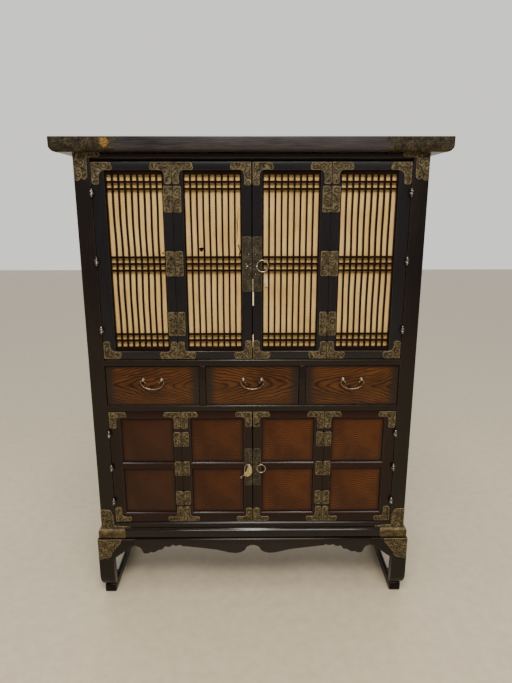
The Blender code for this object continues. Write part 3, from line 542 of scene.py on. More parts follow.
def make_paper(name, tones):
    t = Finish(name)
    place = t.place()
    age = t.noise(place, 11, 4, 0.6)
    fibres = t.node("TexVoronoi", {"Vector": t.place((1, 1, 0.25)), "Scale": 260.0},
                    feature="DISTANCE_TO_EDGE").outputs["Distance"]
    tone = t.total(t.times(age, 0.5), (t.grain("Z", 0.05, 260, 3, 0.6), 0.5))
    colour = t.ramp(tone, (0.34, tones[0]), (0.50, tones[1]), (0.68, tones[2]))
    pinker = t.ramp(t.grain("Z", 0.08, 140, 2, 0.5), (0.40, 1), (0.60, 0))
    colour = t.tint(colour, pinker, 0.35, (0.720, 0.400, 0.210))
    threads = t.ramp(fibres, (0.0, 1), (0.06, 0))
    colour = t.tint(colour, threads, 0.18, (0.840, 0.660, 0.360))
    dirt = t.ramp(t.noise(place, 330, 2, 0.5), (0.72, 0), (0.76, 1))
    colour = t.tint(colour, dirt, 0.7, (0.120, 0.060, 0.025))
    return t.done(colour, age, 0.1, 0.8, age, 0.0015)


bare_wood = {along: make_bare_wood(along) for along in "XYZ"}
paper = make_paper("aged_paper", ((0.550, 0.322, 0.090), (0.780, 0.515, 0.172), (0.880, 0.645, 0.266)))
pale_paper = make_paper("fresh_torn_paper", ((0.93, 0.74, 0.42), (0.97, 0.82, 0.52), (0.98, 0.88, 0.64)))
print("woods and paper made")

# %% [markdown]
# ## Planed boards
#
# Most of the carcass and the stand already has its real shape in the solids, but a solid's edges are
# razor sharp, and real arrises never are. So each board is copied, its loose triangles are merged and
# flattened into whole faces, and its edges are eased by about a millimetre. That small round is what
# catches the lamp as a bright line along every rail in the photograph. The rails have a softer brow,
# the front legs and the apron a flat chamfer there. The top board is planed down a little at its front
# and its ends, so that the sheet brass and the nails over them stay within the board's full size.

# %% Plane the boards
AT_FACE = 0.0004
RAIL_BROW = 0.0026
BROW_CHAMFER = 0.0019
THIN_SHEET = 0.0008
LOW_DOME = 0.0007
LET_IN = THIN_SHEET + LOW_DOME + 0.0001


def copy_of(name):
    shape = new_shape()
    shape.from_mesh(frame["nodes"][name].data)
    bmesh.ops.remove_doubles(shape, verts=shape.verts, dist=MERGE)
    bmesh.ops.dissolve_limit(shape, angle_limit=math.radians(1), verts=shape.verts, edges=shape.edges)
    for face in shape.faces:
        face.material_index = 0
    return shape


def soften_brow(shape, corners, width, facets=4):
    """Rounds the edge where the front meets the top, or with one facet makes it a flat chamfer."""
    low, high = corners
    brow = [e for e in shape.edges
            if all(v.co.y < low.y + AT_FACE and v.co.z > high.z - AT_FACE for v in e.verts)]
    ease(shape, brow, width, facets, worn=0.4 if facets > 1 else 0)


def plane_board(name, finish, width=0.0010, steps=2, let_in=0, brow=0, facets=4):
    """Eases a board. let_in takes a little off its front and its ends, where sheet metal covers it,
    and brow eases its upper front edge more than the others."""
    shape = copy_of(name)
    low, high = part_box(name)
    if brow:
        soften_brow(shape, (low, high), brow, facets)
    if let_in:
        fronts = [point for point in shape.verts if point.co.y < 0]
        bmesh.ops.translate(shape, vec=(0, let_in, 0), verts=fronts)
        bmesh.ops.scale(shape, vec=(1 - let_in / high.x, 1, 1), verts=shape.verts)
    ease(shape, sharp_edges(shape), width, steps)
    finish_piece("planed_" + name, shape, [finish], "carcass", [name])


plane_board("top_board", top_sheen_lacquer, 0.0016, 3, let_in=LET_IN)

# %% [markdown]
# The apron's lower edge climbs from each outer lobe in a row of small bows. Its outline is read from the
# solid, the bows are added to it as half waves of a sine, and the face is drawn out to a board again.

# %% Scallop the apron
SCALLOPED = (0.615, 0.875)
BOW_STEP = 0.0036
BOW_DEPTH = 0.0052
low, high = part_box("front_apron")
shape = copy_of("front_apron")
edge = sorted((v.co.x, v.co.z) for v in shape.verts if v.co.y < low.y + AT_FACE and v.co.z < high.z - 0.002)
shape.free()
ring = [(high.x, high.z), (low.x, high.z)]
for (x, z), (next_x, next_z) in zip(edge, edge[1:]):
    pieces = max(1, round((next_x - x) / BOW_STEP))
    for i in range(pieces):
        t = i / pieces
        across = x + (next_x - x) * t
        share = (abs(across) / high.x - SCALLOPED[0]) / (SCALLOPED[1] - SCALLOPED[0])
        dip = BOW_DEPTH * (abs(math.sin(4 * math.pi * share)) - 0.5) if 0 < share < 1 else 0
        ring.append((across, max(low.z + AT_FACE, z + (next_z - z) * t - dip)))
ring.append(edge[-1])
shape = new_shape()
thicken(shape, [shape.faces.new([shape.verts.new((x, low.y, z)) for x, z in ring])], high.y - low.y)
bmesh.ops.recalc_face_normals(shape, faces=shape.faces)
soften_brow(shape, (low, high), BROW_CHAMFER, 1)
ease(shape, sharp_edges(shape, 60), 0.0008, 2)
finish_piece("scalloped_apron", shape, [lacquer["X"]], "carcass", ["front_apron"])
print("apron outline", len(ring), "points")

# %% Plane the other boards
for board in ("bottom_rail", "drawer_rail", "upper_rail", "top_rail"):
    plane_board(board, lacquer["X"], 0.0011, 3, brow=RAIL_BROW)
plane_board("base_frame", base_lacquer, 0.0012, 3)
for side_word in ("left", "right"):
    plane_board("back_post_" + side_word, lacquer["Z"], 0.0015)
    plane_board("side_wall_" + side_word, lacquer["Z"], 0.0012)
    plane_board("drawer_divider_" + side_word, lacquer["Z"])
    plane_board("leg_front_" + side_word, front_leg_lacquer, 0.0014, 3, brow=BROW_CHAMFER, facets=1)
    plane_board("leg_back_" + side_word, stand_lacquer["Z"], 0.0014, 3)
    plane_board("side_apron_" + side_word, lacquer["Y"], 0.0012)
    plane_board("floor_runner_" + side_word, stand_lacquer["Y"], 0.0038, 3)
plane_board("back_wall", bare_wood["Z"])
for board in ("cabinet_floor", "drawer_floor", "upper_floor"):
    plane_board(board, bare_wood["X"], 0.0008)

# %% [markdown]
# ## Places the rest is measured from
#
# The doors and mounts need a few lines of the carcass: the plane of the posts, the plane of the leaves,
# the fold line between two leaves. They are read from the solids where a solid ends there.

# %% Main lines
POST_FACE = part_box("drawer_divider_left")[0].y
LEAF_FACE = POST_FACE + 0.0020
LEAF_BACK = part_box("lower_left_outer_frame")[1].y
FIT = 0.0003
SHEET = 0.0011
FOLD_LINE = 0.2155
MEETING_EDGE = 0.0015
OUTER_EDGES = (0.2160, 0.4300)
INNER_EDGES = (MEETING_EDGE, 0.2150)
SIDES = ((-1, "left"), (1, "right"))
print("post face", round(POST_FACE, 4), "leaf back", round(LEAF_BACK, 4))

# %% [markdown]
# ## Wires, rings and turned knobs
#
# A wire is made as a smith draws it: a small circle is the cross-section, and it is pushed from place
# to place along a path, each step adding one ring of faces. A ring could be swept the same way, but a
# spin about its axis closes it without a seam. Turned pieces are half profiles that are spun as well.

# %% Wire and spin tools
def path_frames(path, radii):
    """A placement for the wire's cross-section at each point, turned as little as possible."""
    points = [Vector(p) for p in path]
    last = len(points) - 1
    ways = [(points[min(i + 1, last)] - points[max(i - 1, 0)]).normalized() for i in range(last + 1)]
    aside = ways[0].orthogonal().normalized()
    frames = []
    for i, (point, way) in enumerate(zip(points, ways)):
        if i:
            aside = ways[i - 1].rotation_difference(way) @ aside
        turn = Matrix((aside, way.cross(aside), way)).transposed().to_4x4()
        frames.append(Matrix.Translation(point) @ turn @ Matrix.Scale(radii[i], 4))
    return frames


def sweep(shape, path, radii, sides=10, material=0):
    """A round wire along a path, with a radius for every point."""
    part = new_shape()
    frames = path_frames(path, radii)
    ring = bmesh.ops.create_circle(part, segments=sides, radius=1)["verts"]
    edges = edges_of(ring)
    bmesh.ops.transform(part, matrix=frames[0], verts=ring)
    for back, place in zip(frames, frames[1:]):
        made = bmesh.ops.extrude_edge_only(part, edges=edges)["geom"]
        ring = [g for g in made if isinstance(g, bmesh.types.BMVert)]
        edges = [g for g in made if isinstance(g, bmesh.types.BMEdge)
                 and g.verts[0] in ring and g.verts[1] in ring]
        bmesh.ops.transform(part, matrix=place @ back.inverted(), verts=ring)
    bmesh.ops.holes_fill(part, edges=[e for e in part.edges if e.is_boundary], sides=sides)
    join_part(shape, part, material)


def spin_part(shape, part, geometry, axis, steps, place, turn, material=0):
    """Spins a section once about an axis through the origin, and puts the part in its place."""
    bmesh.ops.spin(part, geom=geometry, axis=axis, cent=(0, 0, 0), angle=2 * math.pi, steps=steps,
                   use_merge=True)
    bmesh.ops.remove_doubles(part, verts=part.verts, dist=MERGE)
    bmesh.ops.transform(part, matrix=Matrix.Translation(Vector(place)) @ turn, verts=part.verts)
    join_part(shape, part, material)


def spin_profile(shape, profile, place, turn=Matrix(), steps=16):
    """Turns a half profile of (radius, height) points about its own axis."""
    part = new_shape()
    points = [part.verts.new((r, 0, h)) for r, h in profile]
    edges = [part.edges.new(pair) for pair in zip(points, points[1:])]
    spin_part(shape, part, points + edges, (0, 0, 1), steps, place, turn)


def hoop(shape, centre, radius, wire, turn=Matrix(), steps=20, sides=8, material=0):
    """A closed ring of wire. It lies in the XZ plane before it is turned."""
    part = new_shape()
    ring = bmesh.ops.create_circle(part, segments=sides, radius=wire)["verts"]
    bmesh.ops.translate(part, vec=(radius, 0, 0), verts=ring)
    spin_part(shape, part, ring + edges_of(ring), (0, 1, 0), steps, centre, turn, material)


def ball(shape, centre, radius, flat=1.0, rings=8, material=0, facing="Y"):
    """A small ball, or a dome where it is flattened. It faces the front (Y) or an end (X)."""
    part = new_shape()
    bmesh.ops.create_uvsphere(part, u_segments=12, v_segments=rings, radius=radius)
    turn = Matrix.Rotation(math.pi / 2, 3, "X" if facing == "Y" else "Y")
    bmesh.ops.rotate(part, cent=(0, 0, 0), matrix=turn, verts=part.verts)
    bmesh.ops.scale(part, vec=(1, flat, 1) if facing == "Y" else (flat, 1, 1), verts=part.verts)
    bmesh.ops.translate(part, vec=centre, verts=part.verts)
    join_part(shape, part, material)


# %% [markdown]
# ## Posts and barrel hinges
#
# A barrel hinge is two short knuckles on a pin, with an acorn finial above and below. The upper knuckle
# is fixed to the post and the lower one to the door, so they are separate pieces that ride on different
# bodies. One spun profile makes a knuckle: the acorn has a waist, a swelling and a small point, and the
# knuckle itself is a bulb that narrows to a collar.

# %% Barrel hinges
BARREL_X = 0.4305
BARREL_Y = -0.1903
BARREL_RADIUS = 0.0050
BARREL_KNUCKLE = 0.0070
FINIAL = 0.0058
ACORN = ((0.0, 1.0), (0.16, 0.93), (0.24, 0.80), (0.48, 0.66), (0.66, 0.44), (0.60, 0.22), (0.42, 0.10),
         (0.46, 0.0))
BULB = ((0.62, 1.0), (0.86, 0.92), (0.98, 0.76), (1.0, 0.58), (0.92, 0.38), (0.72, 0.22), (0.56, 0.12),
        (0.62, 0.0), (0.0, 0.0))
KNUCKLE = ([(BARREL_RADIUS * r, BARREL_KNUCKLE + FINIAL * h) for r, h in ACORN]
           + [(BARREL_RADIUS * r, BARREL_KNUCKLE * h) for r, h in BULB])
UPPER_BARRELS = (0.8673, 1.0633, 1.2473)
LOWER_BARRELS = (0.3223, 0.4363, 0.5473)


def add_barrel(shape, side, height, rises):
    """One knuckle, its finial up or down, and the tongue that ties it to the wood."""
    turn = Matrix() if rises else Matrix.Rotation(math.pi, 4, "X")
    sign = 1 if rises else -1
    foot = height + sign * FIT / 2
    spin_profile(shape, KNUCKLE, (side * BARREL_X, BARREL_Y, foot), turn)
    face = POST_FACE if rises else LEAF_FACE
    eased_box(shape, (side * BARREL_X, BARREL_Y, foot + sign * 0.0003),
              (side * (BARREL_X + sign * 0.0055), face + 0.0008, foot + sign * 0.0050), 0.0004)


# %% Front posts
for side, word in SIDES:
    low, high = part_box("back_post_" + word)
    shape = new_shape()
    eased_box(shape, (low.x, POST_FACE, low.z), (high.x, POST_FACE + 0.045, high.z), 0.0016, 3)
    finish_piece(word + "_front_post", shape, [lacquer["Z"]], "carcass", ["front_post_" + word])
    shape = new_shape()
    for height in UPPER_BARRELS + LOWER_BARRELS:
        add_barrel(shape, side, height, True)
    finish_piece(word + "_post_knuckles", shape, [hinge_metal], "carcass")
print("posts and their knuckles made")

# %% [markdown]
# ## Sheet brass
#
# A mount is a flat outline cut from sheet. Its outline is a closed row of points in X and Z: the arms
# have rounded ends, and the inside corner is a hollow quarter round. The face is extruded by the
# thickness of the sheet and its front edge is eased, so that it catches light. Nails are low domes.

# %% Outline tools
def turn_points(centre, radius, start, end, steps=5):
    """Points along an arc in the XZ plane. A start above the end goes clockwise."""
    angles = [math.radians(start + (end - start) * i / steps) for i in range(steps + 1)]
    return [(centre[0] + radius * math.cos(a), centre[1] + radius * math.sin(a)) for a in angles]


def angle_outline(reach, arm, drop, stem, fillet):
    """An L with its corner at (0, 0), its arm along +X and its stem down -Z, waisted before its ends."""
    tip, toe, waist = arm * 0.34, stem * 0.30, 0.0011
    return ([(0.0, 0.0)]
            + turn_points((reach - tip, -tip * 0.6), tip * 0.6, 90, 0, 3)
            + turn_points((reach - tip * 0.95, -arm + tip), tip, 0, -90)
            + [(reach - tip * 2.1, -arm + waist)]
            + turn_points((stem + fillet, -arm - fillet), fillet, 90, 180)
            + [(stem - waist, -drop + toe * 2.4)]
            + turn_points((stem - toe, -drop + toe), toe, 0, -90, 4)
            + turn_points((toe, -drop + toe), toe, -90, -180, 4))


def rounded_plate(xs, middle, half, radius):
    """A plate between two places along X, with a height of twice the half."""
    left, right = xs[0] + radius, xs[1] - radius
    top, foot = middle + half - radius, middle - half + radius
    return (turn_points((right, top), radius, 90, 0, 4) + turn_points((right, foot), radius, 0, -90, 4)
            + turn_points((left, foot), radius, -90, -180, 4) + turn_points((left, top), radius, 180, 90, 4))


def cut_sheet(shape, outline, back, thick=SHEET, edge=0.0004, material=0):
    """A piece of sheet that stands on the plane y = back and comes forward by its thickness."""
    part = new_shape()
    thicken(part, [part.faces.new([part.verts.new((x, back, z)) for x, z in outline])], -thick)
    rim = [e for e in part.edges if all(abs(v.co.y - back + thick) < thick / 9 for v in e.verts)]
    ease(part, rim, edge, 1)
    front = max(part.faces, key=lambda f: f.calc_area() * (f.calc_center_median().y < back - thick / 2))
    # The inset border is marked worn, which paints a highlight along the rim as well as rubbed brass.
    border = bmesh.ops.inset_region(part, faces=[front], thickness=0.0009, use_even_offset=True)["faces"]
    wear(part, border, 0.7)
    join_part(shape, part, material)


def add_nail(shape, x, z, face, radius=0.0021):
    """A low dome on the plane y = face."""
    ball(shape, (x, face, z), radius, 0.55, 5, 1)


def bows(start, end, count, swell, steps=5):
    """A row of small bows from one point to the next. A positive swell bows to the left of the way."""
    start, end = Vector(start), Vector(end)
    stride = (end - start) / count
    aside = Vector((-stride.y, stride.x)).normalized() * swell
    shares = [(i, k / steps) for i in range(count) for k in range(steps)]
    return [tuple(start + stride * (i + t) + aside * math.sin(math.pi * t)) for i, t in shares]


# %% [markdown]
# ## Mounts of the carcass
#
# The four corners of the front are bound in the same sheet: a bracket at the head and one at the foot of
# each post, with an arm along the rail, and a plate on the shoulder of each leg. Each outline is given as
# distances in from the outer edge and down (or up) from the corner, so one list serves both sides. The
# hammered lobes and scallops are short rows of bows.

# %% Flat mounts of the carcass
POST_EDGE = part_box("back_post_right")[1].x
HEAD_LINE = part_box("top_rail")[1].z - FIT
FOOT_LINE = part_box("bottom_rail")[0].z + FIT
LEG_LOW, LEG_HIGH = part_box("leg_front_left")
BRACKET_NAIL = 0.0018

POST_HEAD_MOUNT = (
    [(0, 0), (0.0745, 0)]
    + bows((0.0745, 0), (0.0700, 0.0085), 1, -0.0016)
    + bows((0.0700, 0.0085), (0.0385, 0.0112), 3, -0.0013)
    + [(0.0385, 0.0112), (0.0368, 0.0135), (0.0365, 0.0580)]
    + bows((0.0365, 0.0600), (0.0190, 0.0640), 1, -0.0060, 8)
    + bows((0.0190, 0.0640), (0.0, 0.0670), 1, -0.0060, 8)
)
POST_HEAD_NAILS = ((0.0300, 0.0340), (0.0090, 0.0665), (0.0270, 0.0610), (0.0660, 0.0048), (0.0450, 0.0056),
                   (0.0180, 0.0100))
POST_FOOT_MOUNT = (
    [(0, 0), (0.0890, 0), (0.0905, 0.0030)]
    + bows((0.0880, 0.0075), (0.0810, 0.0080), 1, 0.0022)
    + bows((0.0800, 0.0066), (0.0400, 0.0092), 3, 0.0012)
    + [(0.0388, 0.0110)]
    + bows((0.0385, 0.0130), (0.0372, 0.0480), 3, -0.0022)
    + bows((0.0360, 0.0500), (0.0240, 0.0640), 1, -0.0040, 6)
    + [(0.0240, 0.0640), (0, 0.0655)]
)
POST_FOOT_NAILS = ((0.0300, 0.0550), (0.0080, 0.0590), (0.0310, 0.0300), (0.0080, 0.0080), (0.0560, 0.0045),
                   (0.0850, 0.0045))
LEG_MOUNT = (
    [(0, 0), (0.0760, 0), (0.0730, 0.0070)]
    + bows((0.0715, 0.0090), (0.0430, 0.0450), 4, -0.0034)
    + bows((0.0410, 0.0470), (0.0380, 0.0610), 1, -0.0030)
    + bows((0.0365, 0.0620), (0.0, 0.0700), 2, -0.0030)
)
LEG_NAILS = ((0.0080, 0.0070), (0.0620, 0.0055), (0.0080, 0.0720), (0.0270, 0.0690), (0.0400, 0.0300))
FLAT_MOUNTS = ((POST_HEAD_MOUNT, POST_HEAD_NAILS, POST_EDGE, HEAD_LINE, 1, POST_FACE),
               (POST_FOOT_MOUNT, POST_FOOT_NAILS, POST_EDGE, FOOT_LINE, -1, POST_FACE),
               (LEG_MOUNT, LEG_NAILS, -LEG_LOW.x, LEG_HIGH.z - FIT, 1, LEG_LOW.y))

for side, word in SIDES:
    shape = new_shape()
    for outline, nails, edge, level, down, back in FLAT_MOUNTS:
        cut_sheet(shape, [(side * (edge - u), level - down * v) for u, v in outline], back)
        for u, v in nails:
            add_nail(shape, side * (edge - u), level - down * v, back - SHEET, BRACKET_NAIL)
    finish_piece(word + "_carcass_mounts", shape, [engraved_brass, nail_brass], "carcass")
print("carcass mounts cut")

# %% [markdown]
# ## Mounts over a moulding
#
# The top board and the base frame have shaped edges, and their mounts go over them and round the corner.
# A smith cuts such a mount flat and dresses it over the edge with a mallet. The code does the same: the
# sheet is cut flat, sliced where it has to bend, and each of its points is moved to its place along the
# profile. A Simple Deform modifier could bend it too, but not to a given profile.

# %% Dress a sheet over a profile
SLICE = 0.000001


def slice_at(shape, axis, place):
    normal = Vector([float(a == axis) for a in "XYZ"])
    geometry = shape.verts[:] + shape.edges[:] + shape.faces[:]
    bmesh.ops.bisect_plane(shape, geom=geometry, dist=SLICE, plane_co=normal * place, plane_no=normal)


def profile_point(profile, reach, rise):
    """Place (back, down) at a distance along the profile, lifted off it by rise."""
    points = [Vector(p) for p in profile]
    ways = [(b - a).normalized() for a, b in zip(points, points[1:])]
    walked = 0
    for i, (a, b) in enumerate(zip(points, points[1:])):
        length = (b - a).length
        if reach <= walked + length + SLICE or i == len(ways) - 1:
            share = (reach - walked) / length
            first = (ways[max(i - 1, 0)] + ways[i]).normalized()
            second = (ways[i] + ways[min(i + 1, len(ways) - 1)]).normalized()
            way = first.lerp(second, share).normalized()
            return a.lerp(b, share) + Vector((-way.y, way.x)) * rise
        walked += length


def dress_sheet(shape, outline, nails, profile, place, facing):
    """Cuts (inward, along) points flat and bends them over the profile. place puts them on the piece,
    and facing is the way its nails point."""
    part = new_shape()
    thicken(part, [part.faces.new([part.verts.new((u, 0, -s)) for u, s in outline])], -THIN_SHEET)
    ease(part, [e for e in part.edges if all(v.co.y < -THIN_SHEET * 0.9 for v in e.verts)], 0.0003, 1)
    walked = 0
    for a, b in zip(profile, profile[1:]):
        walked += (Vector(b) - Vector(a)).length
        slice_at(part, "Z", -walked)
    for point in part.verts:
        back, down = profile_point(profile, -point.co.z, -point.co.y)
        point.co = place(max(point.co.x, back), back, down)
    join_part(shape, part)
    for u, s in nails:
        back, down = profile_point(profile, s, THIN_SHEET)
        ball(shape, place(u, back, down), BRACKET_NAIL, LOW_DOME / BRACKET_NAIL, 5, 1, facing)


# %% [markdown]
# The profile of the top board's edge runs down its flat face and round the quarter below. That of the base
# frame starts on its slope. Each mount has two leaves, one on the front and one round the corner, which
# meet on the mitre.

# %% Mounts of the top board and the base frame
ROUND = 0.0150
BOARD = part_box("top_board")
BOARD_FLAT = BOARD[1].z - BOARD[0].z - ROUND
BOARD_PROFILE = [(0, 0), (0, BOARD_FLAT)] + [
    (ROUND - ROUND * math.cos(math.radians(a)), BOARD_FLAT + ROUND * math.sin(math.radians(a)))
    for a in (15, 30, 45, 60, 75, 84)]
END_PLATE = (
    [(-THIN_SHEET, 0.0006), (0.1740, 0.0006), (0.1760, 0.0050)]
    + bows((0.1750, 0.0060), (0.1680, 0.0180), 2, -0.0020)
    + turn_points((0.1630, 0.0225), 0.0052, -60, -290, 8)
    + bows((0.1680, 0.0275), (0.1660, 0.0420), 2, -0.0026)
    + [(-THIN_SHEET, 0.0430)]
)
END_NAILS = ((0.0080, 0.0060), (0.1200, 0.0050), (0.1680, 0.0060), (0.0100, 0.0330), (0.0900, 0.0310),
             (0.1480, 0.0300), (0.1280, 0.0170))
END_RETURN = (
    [(-THIN_SHEET, 0.0006), (0.0620, 0.0006)]
    + bows((0.0640, 0.0060), (0.0540, 0.0400), 3, -0.0030)
    + [(-THIN_SHEET, 0.0430)]
)
RETURN_NAILS = ((0.0080, 0.0060), (0.0540, 0.0060), (0.0100, 0.0330), (0.0460, 0.0320))

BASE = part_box("base_frame")
SLOPE = 0.0060
BASE_PROFILE = [(SLOPE, 0), (0, SLOPE), (0, BASE[1].z - BASE[0].z)]
BASE_REACH = 0.0330
BASE_WRAP = ([(-THIN_SHEET, 0.0004), (0.0800, 0.0004), (0.0830, 0.0040)]
             + bows((0.0830, 0.0080), (0.0830, 0.0290), 2, -0.0010)
             + [(0.0810, BASE_REACH - 0.0010), (-THIN_SHEET, BASE_REACH - 0.0010)])
BASE_NAILS = ((0.0070, 0.0130), (0.0070, 0.0280), (0.0760, 0.0200), (0.0400, 0.0200))


def add_wrap(name, brass, side, corner, profile, front_leaf, end_leaf):
    """A mount round a corner. A leaf is an outline and its nails, corner is the corner of the edge."""
    half, front, head = corner
    shape = new_shape()
    dress_sheet(shape, *front_leaf, profile,
                lambda u, back, down: Vector((side * (half - u), front + back, head - down)), "Y")
    dress_sheet(shape, *end_leaf, profile,
                lambda u, back, down: Vector((side * (half - back), front + u, head - down)), "X")
    finish_piece(name, shape, [brass, nail_brass], "carcass")


BOARD_CORNER = (BOARD[1].x - LET_IN, BOARD[0].y + LET_IN, BOARD[1].z)
BASE_CORNER = (BASE[1].x, BASE[0].y, BASE[1].z)
for side, word in SIDES:
    add_wrap(word + "_top_board_mount", rubbed_brass if side < 0 else end_brass, side, BOARD_CORNER,
             BOARD_PROFILE, (END_PLATE, END_NAILS), (END_RETURN, RETURN_NAILS))
    add_wrap(word + "_base_mount", wrap_brass, side, BASE_CORNER, BASE_PROFILE,
             (BASE_WRAP, BASE_NAILS), (BASE_WRAP, BASE_NAILS))
print("moulded mounts dressed")

# %% [markdown]
# ## Door frames
#
# A leaf is a joined frame around one window or two. It is cut from one board here: planes slice the board
# at the window's edges, the window's front and back are taken out, and the two rims are bridged. The
# front edges of the window then get the wide slope that catches light under each panel, and all
# other arrises a small one. Stiles and rails get grain along their own length by the place of each face.

# %% Leaf frame
def open_window(shape, window):
    """Takes out the faces inside the window, and walls the opening. Returns its front edges."""
    x0, x1, z0, z1 = window
    inside = [f for f in shape.faces if abs(f.normal.y) > 0.9
              and x0 < f.calc_center_median().x < x1 and z0 < f.calc_center_median().z < z1]
    rims = list({e for f in inside for e in f.edges})
    bmesh.ops.delete(shape, geom=inside, context="FACES_ONLY")
    bmesh.ops.bridge_loops(shape, edges=rims)
    middle = (LEAF_FACE + LEAF_BACK) / 2
    return [e for e in rims if e.is_valid and all(v.co.y < middle for v in e.verts)]


def make_leaf_frame(edges, foot, head, windows, slope):
    shape = new_shape()
    box(shape, (edges[0], LEAF_FACE, foot), (edges[1], LEAF_BACK, head))
    left, right = windows[0][:2]
    slice_at(shape, "X", left)
    slice_at(shape, "X", right)
    for window in windows:
        slice_at(shape, "Z", window[2])
        slice_at(shape, "Z", window[3])
    front_rims = [e for window in windows for e in open_window(shape, window)]
    ease(shape, front_rims, slope, 1, worn=0.25)
    ease(shape, sharp_edges(shape), 0.0007, 2)
    for face in shape.faces:
        face.material_index = int(left <= face.calc_center_median().x <= right)
    return shape


# %% [markdown]
# ## Leaf fittings
#
# Each leaf carries its own half of the brass: an L on each corner, the plates and knuckles of the fold
# hinges, and on the inner leaves half of the lock plate with a wire eye. Two Ls on neighbouring leaves
# read as one T mount across the joint, and part when the doors fold.

# %% Measures of the two tiers
FOLD_AXIS_Y = -0.1859
FOLD_KNUCKLE = 0.0026
EYE_X = 0.0130
EYE_Y = -0.1878
PADLOCK_EYE = 0.4463
TIERS = {
    "upper": {
        "plates": (0.8853, 1.0563, 1.2303), "plate_height": 0.069, "plate_reach": 0.0240,
        "barrels": UPPER_BARRELS, "lock": (1.0548, 0.152, 0.0260), "eye": 1.0503, "slope": 0.0016,
        "post_angle": (0.0560, 0.0208, 0.0575, 0.0196, 0.0160),
        "fold_angle": (0.0572, 0.0205, 0.0565, 0.0190, 0.0120),
        "meeting_angle": (0.0560, 0.0200, 0.0600, 0.0190, 0.0120), "foot_share": 0.90,
    },
    "lower": {
        "plates": (0.3323, 0.4323, 0.5288), "plate_height": 0.046, "plate_reach": 0.0225,
        "barrels": LOWER_BARRELS, "lock": (0.4365, 0.122, 0.0225), "eye": 0.4333, "slope": 0.0040,
        "post_angle": (0.0520, 0.0165, 0.052, 0.0215, 0.007),
        "fold_angle": (0.0500, 0.0165, 0.053, 0.0200, 0.007),
        "meeting_angle": (0.0500, 0.0165, 0.048, 0.0190, 0.007), "foot_share": 0.96,
    },
}
for tier_word, tier in TIERS.items():
    low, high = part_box(tier_word + "_left_inner_frame")
    tier["foot"], tier["head"] = low.z, high.z
    print(tier_word, "leaves from", round(low.z, 4), "to", round(high.z, 4))


# %% Fittings of one leaf
def add_fold_plate(shape, side, inner, middle, tier):
    """A rounded plate, its nails and the knuckles that it carries."""
    way = -1 if inner else 1
    near = FOLD_LINE + way * 0.0031
    xs = sorted((side * near, side * (FOLD_LINE + way * tier["plate_reach"])))
    half = tier["plate_height"] / 2
    cut_sheet(shape, rounded_plate(xs, middle, half, 0.0040), LEAF_FACE)
    for rise in (-0.78, 0.0, 0.78):
        add_nail(shape, (xs[0] + xs[1]) / 2 + side * way * 0.003, middle + half * rise,
                 LEAF_FACE - SHEET, BRACKET_NAIL)
    third = tier["plate_height"] / 3
    end = (third - FIT) / 2
    corner = [(0, end), (FOLD_KNUCKLE * 0.86, end), (FOLD_KNUCKLE, end - 0.0004)]
    profile = corner + [(r, -h) for r, h in reversed(corner)]
    for rise in ((0,) if inner else (-third, third)):
        height = middle + rise
        spin_profile(shape, profile, (side * FOLD_LINE, FOLD_AXIS_Y, height), steps=12)
        eased_box(shape, (side * FOLD_LINE, FOLD_AXIS_Y + 0.0006, height - end + FIT),
                  (side * (near + way * 0.0010), LEAF_FACE + 0.0003, height + end - FIT), 0.0002)


def add_angles(shape, side, inner, tier):
    """The four Ls of a leaf. Those at the foot are a little shorter."""
    edges = INNER_EDGES if inner else OUTER_EDGES
    kinds = ("meeting_angle", "fold_angle") if inner else ("fold_angle", "post_angle")
    for edge, out, kind in zip(edges, (1, -1), kinds):
        reach, arm, drop, stem, fillet = tier[kind]
        corner_x = side * (edge + out * 0.0006)
        for height, down, share in ((tier["head"] - 0.0006, 1, 1),
                                    (tier["foot"] + 0.0006, -1, tier["foot_share"])):
            sizes = (reach * share, arm, drop * share, stem, fillet)
            outline = [(corner_x + side * out * x, height + down * z) for x, z in angle_outline(*sizes)]
            cut_sheet(shape, outline, LEAF_FACE)
            for across, fall in ((sizes[0] - arm * 0.5, arm * 0.5), (stem * 0.5, sizes[2] - stem * 0.5),
                                 (stem * 0.60, arm * 0.60)):
                add_nail(shape, corner_x + side * out * across, height - down * fall, LEAF_FACE - SHEET)


def add_lock_plate(shape, side, tier, turned):
    """Half of the lock plate, with its nails and a wire eye. The padlock's eye lies on its side."""
    middle, height, width = tier["lock"]
    xs = sorted((side * MEETING_EDGE, side * (MEETING_EDGE + width)))
    half = height / 2
    face = LEAF_FACE - SHEET
    cut_sheet(shape, rounded_plate(xs, middle, half, 0.0038), LEAF_FACE)
    for rise in (-0.90, 0.90):
        add_nail(shape, side * (MEETING_EDGE + width * 0.82), middle + half * rise, face, 0.0015)
    for rise in (-0.36, 0.36):
        stud = (side * 0.0095, face, middle + half * rise)
        hoop(shape, stud, 0.0028, 0.0008, steps=16, material=1)
        ball(shape, stud, 0.0012, 0.6, 5, 2)
    if side < 0 and not turned:
        for turn_share in (1, 3, 5, 7):
            along = Vector((math.cos(turn_share * math.pi / 4), 0, math.sin(turn_share * math.pi / 4)))
            across = Vector((-along.z, 0, along.x)) * 0.0013
            ray = [along * 0.0036, along * 0.0078 + across, along * 0.0115, along * 0.0078 - across]
            cut_sheet(shape, [(side * 0.0105 + p.x, tier["eye"] + p.z) for p in ray], face, 0.0004, 0.0001, 2)
    flat = Matrix.Rotation(math.pi / 2, 4, "X")
    turn = Matrix.Rotation(math.pi / 2, 4, "Y") @ flat if turned else flat
    height = PADLOCK_EYE if turned else tier["eye"]
    hoop(shape, (side * EYE_X, EYE_Y, height), 0.0032, 0.0011, turn, material=2)


